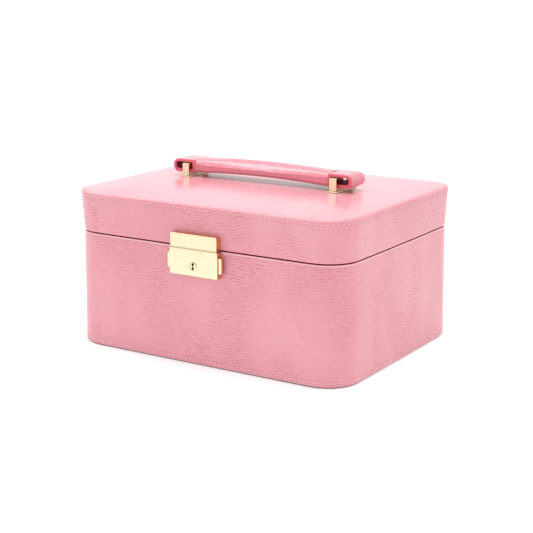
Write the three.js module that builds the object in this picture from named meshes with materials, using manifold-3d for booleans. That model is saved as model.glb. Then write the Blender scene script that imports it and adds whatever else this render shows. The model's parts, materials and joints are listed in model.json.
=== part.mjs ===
// Leather jewellery box with a hinged lid, a strap handle, a push lock and a lift-out tray.
// Millimetres, +Z up. The origin is the centre of the underside, on the surface the box stands on.
// +X runs along the front to the viewer's right and the lock is on the -Y side.

import * as THREE from 'three';
import { mergeVertices } from 'three/addons/utils/BufferGeometryUtils.js';
import Module from 'manifold-3d';

const wasm = await Module();
wasm.setup();

// ---------------------------------------------------------------- driving dimensions

const WIDTH = 260; // across the front, at the seam between lid and base
const DEPTH = 202; // front to back, at the seam
const SEAM = 97; // height of the seam
const HEIGHT = 131; // height of the lid's top edge
const CORNER = 27; // radius of the upright corners
const BASE_SPREAD = 1.2; // how much wider the base is at its foot, on each side
const LID_FLARE = 1.8; // how much wider the lid is at its top, on each side
const CROWN = 4.2; // rise of the padded top above the lid's edge

const GAP = 0.3; // between pieces that touch
const SEAM_GAP = 0.6; // between lid and base
const LEATHER = 1.2; // thickness of the leather
const BOARD = 6; // thickness of the walls' boards
const PANEL = 4; // thickness of the floor's and the lid's boards
const LINING = 1.2; // thickness of the suede-covered card inside
const PAD = 0.9; // thickness of the grey pad underneath
const RIM_ROUNDING = 2; // rounding of both edges at the seam
const LIP = 3.2; // how far the lining stands above the seam, inside the lid

const CORNER_STEPS = 6; // straight sides in each rounded corner
const CROWN_STEPS = [1, 0.92, 0.82, 0.68, 0.5, 0.28, 0.08]; // rings of the domed top

const HALF_WIDTH = WIDTH / 2;
const HALF_DEPTH = DEPTH / 2;
const BOARD_FACE = -(LEATHER + GAP); // outer face of the boards, measured outwards from the leather's face
const BOARD_INSIDE = BOARD_FACE - BOARD;
const LINING_FACE = BOARD_INSIDE - 0.5;
const LINING_INSIDE = LINING_FACE - LINING;

const LEATHER_FOOT = PAD + GAP;
const BOARD_FOOT = LEATHER_FOOT + LEATHER + GAP;
const FLOOR = BOARD_FOOT + PANEL; // top of the floor board
const BASE_RIM = SEAM - SEAM_GAP / 2; // top of the base's leather
const LID_RIM = SEAM + SEAM_GAP / 2; // underside of the lid's leather
const LID_BOARD_TOP = HEIGHT - 4.5;
const LID_CEILING = LID_BOARD_TOP - PANEL;

const PINK = { color: 0xe99bac, roughness: 0.45, metalness: 0 };
const GOLD = { color: 0xe8cf9a, roughness: 0.25, metalness: 1 };
const BOARD_BROWN = { color: 0x9b8468, roughness: 0.9, metalness: 0 };
const SUEDE = { color: 0xe8c3c6, roughness: 0.95, metalness: 0 };
const GREY_SUEDE = { color: 0x9a9797, roughness: 0.95, metalness: 0 };
const FOAM = { color: 0xf1ead8, roughness: 0.95, metalness: 0 };
const STEEL = { color: 0xb8bcc0, roughness: 0.35, metalness: 1 };
const SILVERED_GLASS = { color: 0xdfe6ea, roughness: 0.03, metalness: 1 };
const VELVET = { color: 0xdfb4b9, roughness: 1, metalness: 0 };

// ---------------------------------------------------------------- shared helpers

function mesh(name, geometry, look) {
  const made = new THREE.Mesh(geometry, new THREE.MeshStandardMaterial(look));
  made.name = name;
  return made;
}

// Joins vertices that share a place and drops the flat triangles that this leaves.
function welded(geometry) {
  const bare = geometry.clone();
  bare.deleteAttribute('normal');
  bare.deleteAttribute('uv');
  const merged = mergeVertices(bare, 1e-4);
  const corners = merged.index.array;
  const kept = [];
  for (let i = 0; i < corners.length; i += 3) {
    const [a, b, c] = corners.slice(i, i + 3);
    if (a !== b && b !== c && c !== a) kept.push(a, b, c);
  }
  merged.setIndex(kept);
  return merged;
}

function toSolid(geometry) {
  const merged = welded(geometry);
  return new wasm.Manifold(new wasm.Mesh({
    numProp: 3,
    vertProperties: new Float32Array(merged.attributes.position.array),
    triVerts: new Uint32Array(merged.index.array),
  }));
}

function toGeometry(solid) {
  const out = solid.getMesh();
  const geometry = new THREE.BufferGeometry();
  geometry.setAttribute('position', new THREE.BufferAttribute(new Float32Array(out.vertProperties), 3));
  geometry.setIndex([...out.triVerts]);
  geometry.computeVertexNormals();
  return geometry;
}

function cut(geometry, tools) {
  return toGeometry(tools.reduce((solid, tool) => solid.subtract(toSolid(tool)), toSolid(geometry)));
}

function join(geometries) {
  return toGeometry(geometries.map(toSolid).reduce((all, next) => all.add(next)));
}

// A box given by its lowest and highest corners.
function block(low, high) {
  const size = high.map((value, axis) => value - low[axis]);
  const middle = high.map((value, axis) => (value + low[axis]) / 2);
  return new THREE.BoxGeometry(...size).translate(...middle);
}

// A round bar of the given radius along X, Y or Z.
function bar(axis, radius, from, to, [u, v] = [0, 0], sides = 16) {
  const geometry = new THREE.CylinderGeometry(radius, radius, to - from, sides);
  const middle = (from + to) / 2;
  if (axis === 'x') return geometry.rotateZ(Math.PI / 2).translate(middle, u, v);
  if (axis === 'y') return geometry.translate(u, middle, v);
  return geometry.rotateX(Math.PI / 2).translate(u, v, middle);
}

// A rounded rectangle as a Shape or a hole, centred on (x, y).
function roundedRect(width, height, radius, [x, y] = [0, 0], Kind = THREE.Shape) {
  const right = x + width / 2 - radius;
  const left = x - width / 2 + radius;
  const top = y + height / 2 - radius;
  const bottom = y - height / 2 + radius;
  const outline = new Kind();
  outline.absarc(right, bottom, radius, -Math.PI / 2, 0);
  outline.absarc(right, top, radius, 0, Math.PI / 2);
  outline.absarc(left, top, radius, Math.PI / 2, Math.PI);
  outline.absarc(left, bottom, radius, Math.PI, 1.5 * Math.PI);
  outline.closePath();
  return outline;
}

// Extrudes a shape drawn in X and Z, from the plane y = back towards the viewer, to y = front.
function extrudeForward(shape, back, front, bevel = 0, curveSegments = 3) {
  const geometry = new THREE.ExtrudeGeometry(shape, {
    depth: back - front - 2 * bevel,
    bevelEnabled: bevel > 0,
    bevelThickness: bevel,
    bevelSize: bevel,
    bevelOffset: -bevel,
    bevelSegments: 2,
    curveSegments,
  });
  return geometry.rotateX(Math.PI / 2).translate(0, back - bevel, 0);
}

// Points of an arc in a wall's section, as [outward, height] pairs.
function arc([outward, height], radius, fromDegrees, toDegrees, steps = 3) {
  return Array.from({ length: steps + 1 }, (_, i) => {
    const angle = THREE.MathUtils.degToRad(fromDegrees + ((toDegrees - fromDegrees) * i) / steps);
    return [outward + radius * Math.cos(angle), height + radius * Math.sin(angle)];
  });
}

// The box's rounded outline, moved outwards and scaled about its centre, at one height.
function outlineRing([outward, height, scale = 1]) {
  const radius = CORNER + outward;
  const centreX = HALF_WIDTH - CORNER;
  const centreY = HALF_DEPTH - CORNER;
  const ring = [];
  [[1, -1], [1, 1], [-1, 1], [-1, -1]].forEach(([signX, signY], corner) => {
    for (let i = 0; i <= CORNER_STEPS; i += 1) {
      const angle = (Math.PI / 2) * (corner - 1 + i / CORNER_STEPS);
      const x = signX * centreX + radius * Math.cos(angle);
      const y = signY * centreY + radius * Math.sin(angle);
      ring.push([x * scale, y * scale, height]);
    }
  });
  return ring;
}

// Sweeps a section round the box's outline. The section is a list of [outward, height, scale].
// A band's section closes on itself; otherwise both ends are filled in and the body has no hole.
function aroundBox(section, isBand = false) {
  const rings = section.map(outlineRing);
  const count = rings[0].length;
  const points = rings.flat();
  const triangles = [];
  const bandCount = isBand ? rings.length : rings.length - 1;
  for (let r = 0; r < bandCount; r += 1) {
    const lower = r * count;
    const upper = ((r + 1) % rings.length) * count;
    for (let i = 0; i < count; i += 1) {
      const next = (i + 1) % count;
      triangles.push(lower + i, lower + next, upper + next, lower + i, upper + next, upper + i);
    }
  }
  if (!isBand) {
    const last = (rings.length - 1) * count;
    points.push([0, 0, section[0][1]], [0, 0, section.at(-1)[1]]);
    for (let i = 0; i < count; i += 1) {
      const next = (i + 1) % count;
      triangles.push(points.length - 2, next, i, points.length - 1, last + i, last + next);
    }
  }
  const geometry = new THREE.BufferGeometry();
  geometry.setAttribute('position', new THREE.Float32BufferAttribute(points.flat(), 3));
  geometry.setIndex(triangles);
  geometry.computeVertexNormals();
  return geometry;
}

const baseFace = (height) => BASE_SPREAD * (1 - height / SEAM);
const lidFace = (height) => (LID_FLARE * (height - SEAM)) / (HEIGHT - SEAM);
const crownHeight = (scale) => CROWN * (1 - scale ** 4);

// ---------------------------------------------------------------- base

const HINGE_X = 75; // middle of each hinge, either side of the centre
const HINGE_WIDTH = 30;
const KNUCKLE = 1.8; // radius of the hinge's barrel
const HINGE_Y = HALF_DEPTH + KNUCKLE + 0.4;
const SCREW_X = 9; // of each screw, either side of the hinge's middle
const SCREW_DROP = 12.5; // from the seam to a screw
const SCREW_RADIUS = 0.9;
const SCREW_TIP = HALF_DEPTH - 5.5;

const hingeSides = [['left', -HINGE_X], ['right', HINGE_X]];
const screwPlaces = hingeSides.flatMap(([, x]) => [x - SCREW_X, x + SCREW_X]);

function screwHoles(height) {
  return screwPlaces.map((x) => (
    bar('y', SCREW_RADIUS + GAP, SCREW_TIP - 1, HALF_DEPTH + 4, [x, height], 8)
  ));
}

function baseLeather() {
  const turnIn = -11;
  const edge = 1;
  const foot = baseFace(0);
  const rim = BASE_RIM - RIM_ROUNDING;
  const section = [
    [turnIn, LEATHER_FOOT],
    ...arc([foot - edge, LEATHER_FOOT + edge], edge, -90, 0, 2),
    ...arc([-RIM_ROUNDING, rim], RIM_ROUNDING, 0, 90),
    [BOARD_INSIDE, BASE_RIM],
    [BOARD_INSIDE, BASE_RIM - LEATHER],
    ...arc([-RIM_ROUNDING, rim], RIM_ROUNDING - LEATHER, 90, 0, 2),
    [foot - LEATHER, LEATHER_FOOT + LEATHER],
    [turnIn, LEATHER_FOOT + LEATHER],
  ];
  return cut(aroundBox(section, true), screwHoles(SEAM - SCREW_DROP));
}

function baseCarcass() {
  const top = BASE_RIM - LEATHER - GAP;
  const chamfer = 0.6;
  const cup = aroundBox([
    [baseFace(BOARD_FOOT) + BOARD_FACE, BOARD_FOOT],
    [BOARD_FACE, top - chamfer],
    [BOARD_FACE - chamfer, top],
    [BOARD_INSIDE, top],
    [BOARD_INSIDE, FLOOR],
  ]);
  return cut(cup, screwHoles(SEAM - SCREW_DROP));
}

function baseLining() {
  const top = SEAM + LIP;
  const edge = LINING / 2;
  return aroundBox([
    [LINING_FACE, FLOOR + GAP],
    ...arc([LINING_FACE - edge, top - edge], edge, 0, 180, 4),
    [LINING_INSIDE, FLOOR + GAP + LINING],
  ]);
}

const COMPARTMENT_FLOOR = FLOOR + GAP + LINING;
const INNER_HALF_WIDTH = HALF_WIDTH + LINING_INSIDE;
const INNER_HALF_DEPTH = HALF_DEPTH + LINING_INSIDE;
const TRAY_FOOT = 62;
const LEDGE = { thickness: 6, height: 5.2, length: 110 };
const DIVIDER = 3; // thickness of the base's dividers
const DIVIDER_TOP = 55.5;
const DIVIDER_X = 30; // of the short divider

function baseDividers() {
  const low = COMPARTMENT_FLOOR + GAP;
  const long = block(
    [-INNER_HALF_WIDTH + GAP, -DIVIDER / 2, low],
    [INNER_HALF_WIDTH - GAP, DIVIDER / 2, DIVIDER_TOP],
  );
  const short = block(
    [DIVIDER_X - DIVIDER / 2, DIVIDER / 2 + GAP, low],
    [DIVIDER_X + DIVIDER / 2, INNER_HALF_DEPTH - GAP, DIVIDER_TOP],
  );
  return [mesh('base_divider_long', long, SUEDE), mesh('base_divider_short', short, SUEDE)];
}

function trayLedges() {
  const outer = INNER_HALF_WIDTH - GAP;
  const middle = outer - LEDGE.thickness / 2;
  return [['left', -middle], ['right', middle]].map(([side, x]) => {
    const ledge = mesh(
      `tray_ledge_${side}`,
      new THREE.BoxGeometry(LEDGE.thickness, LEDGE.length, LEDGE.height),
      SUEDE,
    );
    ledge.position.set(x, 0, TRAY_FOOT - GAP - LEDGE.height / 2);
    return ledge;
  });
}

// ---------------------------------------------------------------- lid

const BRACKET_X = 73; // middle of each handle bracket
const STUD_Y = 14.3; // of each bracket's legs and studs
const STUD_RADIUS = 1.2;
const BACKING = { width: 8, length: 36, thickness: 1.9 }; // strip that the studs screw into
const LID_FOOT_BOARD = LID_RIM + LEATHER + GAP;

const bracketSides = [['left', -BRACKET_X], ['right', BRACKET_X]];
const studPlaces = bracketSides.flatMap(([, x]) => [[x, -STUD_Y], [x, STUD_Y]]);

function studHoles() {
  return studPlaces.map((place) => (
    bar('z', STUD_RADIUS + GAP, LID_CEILING - 1, HEIGHT + CROWN + 2, place, 10)
  ));
}

function backingPockets() {
  const halfWidth = BACKING.width / 2 + 0.5;
  const halfLength = BACKING.length / 2 + 0.5;
  return bracketSides.map(([, x]) => block(
    [x - halfWidth, -halfLength, LID_CEILING - 1],
    [x + halfWidth, halfLength, LID_CEILING + BACKING.thickness + 0.6],
  ));
}

function lidSideLeather() {
  const top = HEIGHT - 2;
  const rim = LID_RIM + RIM_ROUNDING;
  const section = [
    [BOARD_INSIDE, LID_RIM],
    ...arc([-RIM_ROUNDING, rim], RIM_ROUNDING, -90, 0),
    [lidFace(top), top],
    [lidFace(top) - LEATHER, top],
    ...arc([-RIM_ROUNDING, rim], RIM_ROUNDING - LEATHER, 0, -90, 2),
    [BOARD_INSIDE, LID_RIM + LEATHER],
  ];
  return cut(aroundBox(section, true), screwHoles(SEAM + SCREW_DROP));
}

function lidTopLeather() {
  const edge = 1.7;
  const foot = HEIGHT - edge;
  const rim = lidFace(HEIGHT) - edge;
  const outside = CROWN_STEPS.map((scale) => [rim, HEIGHT + crownHeight(scale), scale]);
  const inside = outside.map(([outward, height, scale]) => [outward, height - LEATHER, scale]);
  const section = [
    ...inside.reverse(),
    [rim + edge - LEATHER, foot],
    ...arc([rim, foot], edge, 0, 90).slice(0, -1),
    ...outside,
  ];
  return cut(aroundBox(section), studHoles());
}

function lidPad() {
  const side = BOARD_FACE - 0.3;
  const top = HEIGHT - LEATHER - GAP;
  const section = [
    [side, LID_BOARD_TOP + GAP],
    ...CROWN_STEPS.map((scale) => [side, top + crownHeight(scale), scale]),
  ];
  return cut(aroundBox(section), studHoles());
}

function lidCarcass() {
  const chamfer = 0.6;
  const cap = aroundBox([
    [BOARD_INSIDE, LID_CEILING],
    [BOARD_INSIDE, LID_FOOT_BOARD],
    [BOARD_FACE - chamfer, LID_FOOT_BOARD],
    [BOARD_FACE, LID_FOOT_BOARD + chamfer],
    [lidFace(LID_BOARD_TOP) + BOARD_FACE, LID_BOARD_TOP],
  ]);
  return cut(cap, [...screwHoles(SEAM + SCREW_DROP), ...studHoles(), ...backingPockets()]);
}

function lidLining() {
  const face = BOARD_INSIDE - GAP;
  const foot = SEAM + LIP + 0.8;
  const top = LID_CEILING - GAP;
  return aroundBox([
    [face - LINING, top - LINING],
    [face - LINING, foot],
    [face, foot],
    [face, top],
  ]);
}

const MIRROR = { width: 184, depth: 126, radius: 12, border: 6, frame: 2.3, glass: 1.7 };
const MIRROR_TOP = LID_CEILING - GAP - LINING - GAP;

function mirrorFrame() {
  const outside = MIRROR.border * 2;
  const shape = roundedRect(MIRROR.width + outside, MIRROR.depth + outside, MIRROR.radius + MIRROR.border);
  shape.holes.push(roundedRect(MIRROR.width, MIRROR.depth, MIRROR.radius, [0, 0], THREE.Path));
  return new THREE.ExtrudeGeometry(shape, { depth: MIRROR.frame, bevelEnabled: false, curveSegments: 4 });
}

function mirrorGlass() {
  const shape = roundedRect(MIRROR.width - 2 * GAP, MIRROR.depth - 2 * GAP, MIRROR.radius - GAP);
  return new THREE.ExtrudeGeometry(shape, { depth: MIRROR.glass, bevelEnabled: false, curveSegments: 4 });
}

function lidInside() {
  const frame = mesh('mirror_frame', mirrorFrame(), GOLD);
  frame.position.z = MIRROR_TOP - MIRROR.frame;
  const glass = mesh('mirror', mirrorGlass(), SILVERED_GLASS);
  glass.position.z = MIRROR_TOP - MIRROR.glass;
  return [mesh('lid_lining', lidLining(), SUEDE), frame, glass];
}

// ---------------------------------------------------------------- handle brackets

const PLATE = { width: 10, length: 35, thickness: 1 };
const PLATE_FOOT = HEIGHT + crownHeight((BRACKET_X - PLATE.width / 2) / HALF_WIDTH) + GAP;
const LEG = { width: 6.5, thickness: 1.4 };
const BRACKET_TOP = HEIGHT + CROWN + 11.4;

// A flat bar bent into a staple, with a threaded stud under each leg. It is drawn about x = 0.
function bracketStaple() {
  const low = PLATE_FOOT + PLATE.thickness + GAP;
  const half = LEG.width / 2;
  const inner = STUD_Y - LEG.thickness / 2;
  const outer = STUD_Y + LEG.thickness / 2;
  const studFoot = LID_CEILING + GAP;
  const legs = [-1, 1].flatMap((side) => {
    const [near, far] = [side * inner, side * outer].sort((a, b) => a - b);
    return [
      block([-half, near, low], [half, far, BRACKET_TOP]),
      bar('z', STUD_RADIUS, studFoot, low + 0.5, [0, side * STUD_Y], 10),
    ];
  });
  return join([block([-half, -outer, BRACKET_TOP - LEG.thickness], [half, outer, BRACKET_TOP]), ...legs]);
}

// A flat strip with a hole for each of a bracket's two studs.
function studStrip({ width, length, thickness }) {
  const shape = roundedRect(width, length, 1.5);
  for (const y of [-STUD_Y, STUD_Y]) {
    const hole = new THREE.Path();
    hole.absarc(0, y, STUD_RADIUS + GAP, 0, 2 * Math.PI);
    shape.holes.push(hole);
  }
  return new THREE.ExtrudeGeometry(shape, { depth: thickness, bevelEnabled: false, curveSegments: 6 });
}

function handleBrackets() {
  return bracketSides.map(([side, x]) => {
    const bracket = new THREE.Group();
    bracket.position.x = x;
    const plate = mesh(`handle_plate_${side}`, studStrip(PLATE), GOLD);
    plate.position.z = PLATE_FOOT;
    const backing = mesh(`handle_backing_${side}`, studStrip(BACKING), STEEL);
    backing.position.z = LID_CEILING + GAP;
    bracket.add(mesh(`handle_bracket_${side}`, bracketStaple(), GOLD), plate, backing);
    return bracket;
  });
}

// ---------------------------------------------------------------- strap handle

const STRAP_WIDTH = 23; // front to back
const STRAP_SPLIT = 30; // where the strap bends as it is lifted, either side of the middle
const GRIP_END = 66; // where the padded grip meets its end loop
const GRIP = { foot: 6.3, shoulder: 9.4, top: 17.6 }; // heights above the lid's top
const DOME = 0.55; // how round the padded grip's section is
const SAG = { foot: 2.85, top: 2.4 }; // how far the relaxed strap's ends hang below its middle
const LOOP = { length: 22.5, foot: 3, height: 11.7, slotLength: 17.1, slotHeight: 6.2, wall: 2.3 };
const LID_TOP = HEIGHT + CROWN;

function gripSection() {
  const half = STRAP_WIDTH / 2;
  const shape = new THREE.Shape();
  shape.moveTo(-half, GRIP.foot);
  shape.lineTo(half, GRIP.foot);
  shape.lineTo(half, GRIP.shoulder);
  const bulge = THREE.MathUtils.lerp(GRIP.shoulder, GRIP.top, DOME);
  shape.bezierCurveTo(half, bulge, half * DOME, GRIP.top, 0, GRIP.top);
  shape.bezierCurveTo(-half * DOME, GRIP.top, -half, bulge, -half, GRIP.shoulder);
  return shape;
}

// A stretch of the grip from x = from to x = to, arched like a relaxed strap.
function gripStretch(from, to) {
  const geometry = new THREE.ExtrudeGeometry(gripSection(), {
    depth: to - from,
    steps: 6,
    bevelEnabled: false,
    curveSegments: 6,
  });
  geometry.rotateX(Math.PI / 2).rotateZ(Math.PI / 2).translate(from, 0, LID_TOP);
  const { position } = geometry.attributes;
  for (let i = 0; i < position.count; i += 1) {
    const share = (position.getZ(i) - LID_TOP - GRIP.foot) / (GRIP.top - GRIP.foot);
    const sag = THREE.MathUtils.lerp(SAG.foot, SAG.top, share);
    position.setZ(i, position.getZ(i) - sag * (position.getX(i) / GRIP_END) ** 2);
  }
  return geometry;
}

// The loop is drawn for the right-hand end and mirrored by turning it about Z.
function loopGeometry() {
  const middle = GRIP_END + 0.2 + LOOP.length / 2;
  const height = LID_TOP + LOOP.foot + LOOP.height / 2;
  const slotMiddle = GRIP_END + 0.2 + LOOP.wall + LOOP.slotLength / 2;
  const shape = roundedRect(LOOP.length, LOOP.height, 5.6, [middle, height]);
  shape.holes.push(roundedRect(LOOP.slotLength, LOOP.slotHeight, 1.2, [slotMiddle, height], THREE.Path));
  return extrudeForward(shape, STRAP_WIDTH / 2, -STRAP_WIDTH / 2, 0, 4);
}

function strapEnd(side, turn) {
  const end = new THREE.Group();
  end.rotation.z = turn;
  end.add(
    mesh(`handle_grip_${side}`, gripStretch(STRAP_SPLIT + GAP / 2, GRIP_END - 0.1), PINK),
    mesh(`handle_loop_${side}`, loopGeometry(), PINK),
  );
  return end;
}

function strapHandle() {
  const half = STRAP_SPLIT - GAP / 2;
  return [
    mesh('handle_grip_middle', gripStretch(-half, half), PINK),
    strapEnd('left', Math.PI),
    strapEnd('right', 0),
  ];
}

// ---------------------------------------------------------------- lock
// Drawn about the middle of the seam on the front face: -Y is out of the box, -Z is down.

const CASE = { halfWidth: 23, back: -0.7, front: -6.8, top: -0.3, foot: -22, wall: 1.1 };
const BACK_PLATE = { halfWidth: 21.2, front: -1.4, top: -2, foot: -20.4 };
const CATCH = { halfWidth: 22.2, back: -1, top: 11.5, foot: 0.3 };
const TONGUE = { halfWidth: 7, back: -2.8, front: -3.8, top: 7, foot: -11 };
const KEY = { height: -13.8, radius: 3.4, front: -7.2, collar: 3.2, step: -4.3, neck: 2.4, back: -2.2 };
const KEYWAY = { radius: 1.2, spread: 1.65, bridge: 0.35, depth: 2.5 };
const BUTTON = { top: -4.6, foot: -17.8, back: -2, front: -5.4, proud: 3, flange: 1.6 };
const ARM = { top: -18.6, foot: -20.6, thickness: 1.1, rise: -6 };
const CAM_REACH = 4.2; // from the barrel's axis
const POST = { x: 12, thickness: 0.8 };
const SPRING = { radius: 1.15, wire: 0.3, turns: 4, height: -4, depth: -3.3 };

const caseInside = CASE.halfWidth - CASE.wall;

function lockCase() {
  const middle = (CASE.top + CASE.foot) / 2;
  const shell = extrudeForward(
    roundedRect(2 * CASE.halfWidth, CASE.top - CASE.foot, 0.9, [0, middle]),
    CASE.back,
    CASE.front,
    0.5,
  );
  const inside = block(
    [-caseInside, CASE.front + CASE.wall, CASE.foot + CASE.wall],
    [caseInside, 1, CASE.top - CASE.wall],
  );
  const windows = block(
    [-CASE.halfWidth - 1, BUTTON.front - GAP, BUTTON.foot - GAP],
    [CASE.halfWidth + 1, BUTTON.back + GAP, BUTTON.top + GAP],
  );
  const slot = block(
    [-TONGUE.halfWidth - 1, TONGUE.front - 0.7, CASE.top - 2],
    [TONGUE.halfWidth + 1, TONGUE.back + 0.6, CASE.top + 1],
  );
  const keyHole = bar('y', KEY.radius + GAP, CASE.front - 1, CASE.front + 2, [0, KEY.height], 24);
  return cut(shell, [inside, windows, slot, keyHole]);
}

function lockBackPlate() {
  const { halfWidth, front, top, foot } = BACK_PLATE;
  const plate = block([-halfWidth, front, foot], [halfWidth, CASE.back, top]);
  const posts = [-POST.x, POST.x].map((x) => (
    block([x - POST.thickness / 2, -4.6, -6], [x + POST.thickness / 2, front + 0.1, -2.3])
  ));
  return join([plate, ...posts]);
}

// A push button with the arm that reaches under the tongue to its far side. side is -1 or 1, and
// the two arms lie one in front of the other.
function lockButton(side) {
  const armBack = side < 0 ? BUTTON.back : BUTTON.front + ARM.thickness;
  const outline = (points) => (
    new THREE.Shape(points.map(([x, z]) => new THREE.Vector2(side * x, z)))
  );
  const outer = CASE.halfWidth + BUTTON.proud;
  const flangeOuter = caseInside - GAP;
  const flangeInner = flangeOuter - BUTTON.flange;
  const round = 1.2;
  const cap = outline([
    [flangeInner, BUTTON.foot],
    [outer - round, BUTTON.foot],
    [outer, BUTTON.foot + round],
    [outer, BUTTON.top - round],
    [outer - round, BUTTON.top],
    [flangeInner, BUTTON.top],
  ]);
  const flange = outline([
    [flangeInner, ARM.foot],
    [flangeOuter, ARM.foot],
    [flangeOuter, BUTTON.top + 1.5],
    [flangeInner, BUTTON.top + 1.5],
  ]);
  const riser = TONGUE.halfWidth + GAP;
  const arm = outline([
    [flangeInner + 0.5, ARM.foot],
    [flangeInner + 0.5, ARM.top],
    [-riser, ARM.top],
    [-riser, ARM.rise],
    [-riser - 2, ARM.rise],
    [-riser - 2, ARM.foot],
  ]);
  return join([
    extrudeForward(cap, BUTTON.back, BUTTON.front),
    extrudeForward(flange, BUTTON.back, BUTTON.front),
    extrudeForward(arm, armBack, armBack - ARM.thickness),
  ]);
}

class Coil extends THREE.Curve {
  constructor(radius, turns, from, to) {
    super();
    Object.assign(this, { radius, turns, from, to });
  }

  getPoint(t, target = new THREE.Vector3()) {
    const angle = 2 * Math.PI * this.turns * t;
    const x = THREE.MathUtils.lerp(this.from, this.to, t);
    return target.set(x, this.radius * Math.cos(angle), this.radius * Math.sin(angle));
  }
}

function springGeometry(side) {
  const inner = side * (POST.x + POST.thickness / 2 + SPRING.wire + 0.1);
  const outer = side * (caseInside - GAP - BUTTON.flange - SPRING.wire - 0.1);
  const wire = new THREE.Shape().absarc(0, 0, SPRING.wire, 0, 2 * Math.PI);
  const geometry = new THREE.ExtrudeGeometry(wire, {
    steps: SPRING.turns * 10,
    extrudePath: new Coil(SPRING.radius, SPRING.turns, inner, outer),
    curveSegments: 5,
  });
  return geometry.translate(0, SPRING.depth, SPRING.height);
}

// The key turns this barrel, which carries a cam behind the lock's face.
function keyBarrel() {
  const profile = [
    [0, KEY.front],
    [KEY.radius - 0.4, KEY.front],
    [KEY.radius, KEY.front + 0.4],
    [KEY.radius, CASE.front + CASE.wall + 0.1],
    [KEY.collar, CASE.front + CASE.wall + 0.1],
    [KEY.collar, KEY.step],
    [KEY.neck, KEY.step],
    [KEY.neck, KEY.back],
    [0, KEY.back],
  ].map(([radius, depth]) => new THREE.Vector2(radius, depth));
  const barrel = new THREE.LatheGeometry(profile, 24);
  const cam = block([-1.5, -3.6, -CAM_REACH], [1.5, -2.4, 0]);
  const mouth = KEY.front - 1;
  const floor = KEY.front + KEYWAY.depth;
  const { radius, spread, bridge } = KEYWAY;
  return cut(join([barrel, cam]), [
    bar('y', radius, mouth, floor, [0, spread], 16),
    bar('y', radius, mouth, floor, [0, -spread], 16),
    block([-bridge, mouth, -spread], [bridge, floor, spread]),
  ]);
}

function lockOnBase() {
  const lock = new THREE.Group();
  lock.position.set(0, -HALF_DEPTH, SEAM);
  const barrel = mesh('key_barrel', keyBarrel(), GOLD);
  barrel.position.z = KEY.height;
  lock.add(
    mesh('lock_case', lockCase(), GOLD),
    mesh('lock_back_plate', lockBackPlate(), STEEL),
    mesh('lock_button_left', lockButton(-1), GOLD),
    mesh('lock_button_right', lockButton(1), GOLD),
    mesh('lock_spring_left', springGeometry(-1), STEEL),
    mesh('lock_spring_right', springGeometry(1), STEEL),
    barrel,
  );
  return lock;
}

function catchOnLid() {
  const group = new THREE.Group();
  group.position.set(0, -HALF_DEPTH, SEAM);
  const middle = (CATCH.top + CATCH.foot) / 2;
  const body = extrudeForward(
    roundedRect(2 * CATCH.halfWidth, CATCH.top - CATCH.foot, 0.9, [0, middle]),
    CATCH.back,
    CASE.front,
    0.5,
  );
  const pocket = block(
    [-TONGUE.halfWidth - GAP, TONGUE.front - GAP, CATCH.foot - 1],
    [TONGUE.halfWidth + GAP, TONGUE.back + GAP, TONGUE.top + GAP],
  );
  const tongue = cut(
    block([-TONGUE.halfWidth, TONGUE.front, TONGUE.foot], [TONGUE.halfWidth, TONGUE.back, TONGUE.top]),
    [block([-3.5, -5, -8.5], [3.5, -2, -4.5])],
  );
  group.add(mesh('catch_block', cut(body, [pocket]), GOLD), mesh('catch_tongue', tongue, STEEL));
  return group;
}

// ---------------------------------------------------------------- hinges
// Each is drawn about its own axis: +Y is out of the back of the box, z = 0 is the seam.

const LEAF = { height: 18, thickness: 1 };
const BASE_LEAF_BACK = -1.65; // face of the lower leaf that lies on the leather
const LID_LEAF_BACK = -0.8; // the upper leaf clears the lid's flare
const MIDDLE_KNUCKLE = 9.4; // length of the lid leaf's knuckle
const PIN_RADIUS = 0.8;

function hingeLeaf(direction, back, knuckles) {
  const front = back + LEAF.thickness;
  const [low, high] = [0, direction * LEAF.height].sort((a, b) => a - b);
  const half = HINGE_WIDTH / 2;
  const plate = block([-half, back, low], [half, front, high]);
  const relief = KNUCKLE + GAP;
  const clear = direction > 0
    ? [block([-half - 1, -3, -3], [-MIDDLE_KNUCKLE / 2, 3, relief]),
      block([MIDDLE_KNUCKLE / 2, -3, -3], [half + 1, 3, relief])]
    : [block([-MIDDLE_KNUCKLE / 2 - GAP, -3, -relief], [MIDDLE_KNUCKLE / 2 + GAP, 3, 3])];
  const barrels = knuckles.map(([from, to]) => bar('x', KNUCKLE, from, to, [0, 0], 14));
  const screwTools = [-SCREW_X, SCREW_X].map((x) => (
    bar('y', SCREW_RADIUS + GAP, back - 1, front + 1, [x, direction * SCREW_DROP], 12)
  ));
  const bored = [bar('x', PIN_RADIUS + GAP, -half - 2, half + 2, [0, 0], 10), ...screwTools];
  return cut(join([cut(plate, clear), ...barrels]), bored);
}

function screwGeometry(headFrom) {
  const head = 2;
  const profile = [
    [0, SCREW_TIP - HINGE_Y],
    [SCREW_RADIUS, SCREW_TIP - HINGE_Y + 1],
    [SCREW_RADIUS, headFrom],
    [head, headFrom],
    [head, headFrom + 0.4],
    [head - 0.6, headFrom + 0.7],
    [0, headFrom + 0.7],
  ].map(([radius, depth]) => new THREE.Vector2(radius, depth));
  return welded(new THREE.LatheGeometry(profile, 12));
}

function atHinge(x, ...meshes) {
  const group = new THREE.Group();
  group.position.set(x, HINGE_Y, SEAM);
  group.add(...meshes);
  return group;
}

function hingeScrews(part, side, back, direction) {
  const outward = side === 'left' ? -1 : 1;
  return [['outer', outward], ['inner', -outward]].map(([place, sign]) => {
    const headFrom = back + LEAF.thickness + GAP;
    const screw = mesh(`hinge_screw_${part}_${side}_${place}`, screwGeometry(headFrom), GOLD);
    screw.position.set(sign * SCREW_X, 0, direction * SCREW_DROP);
    return screw;
  });
}

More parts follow.
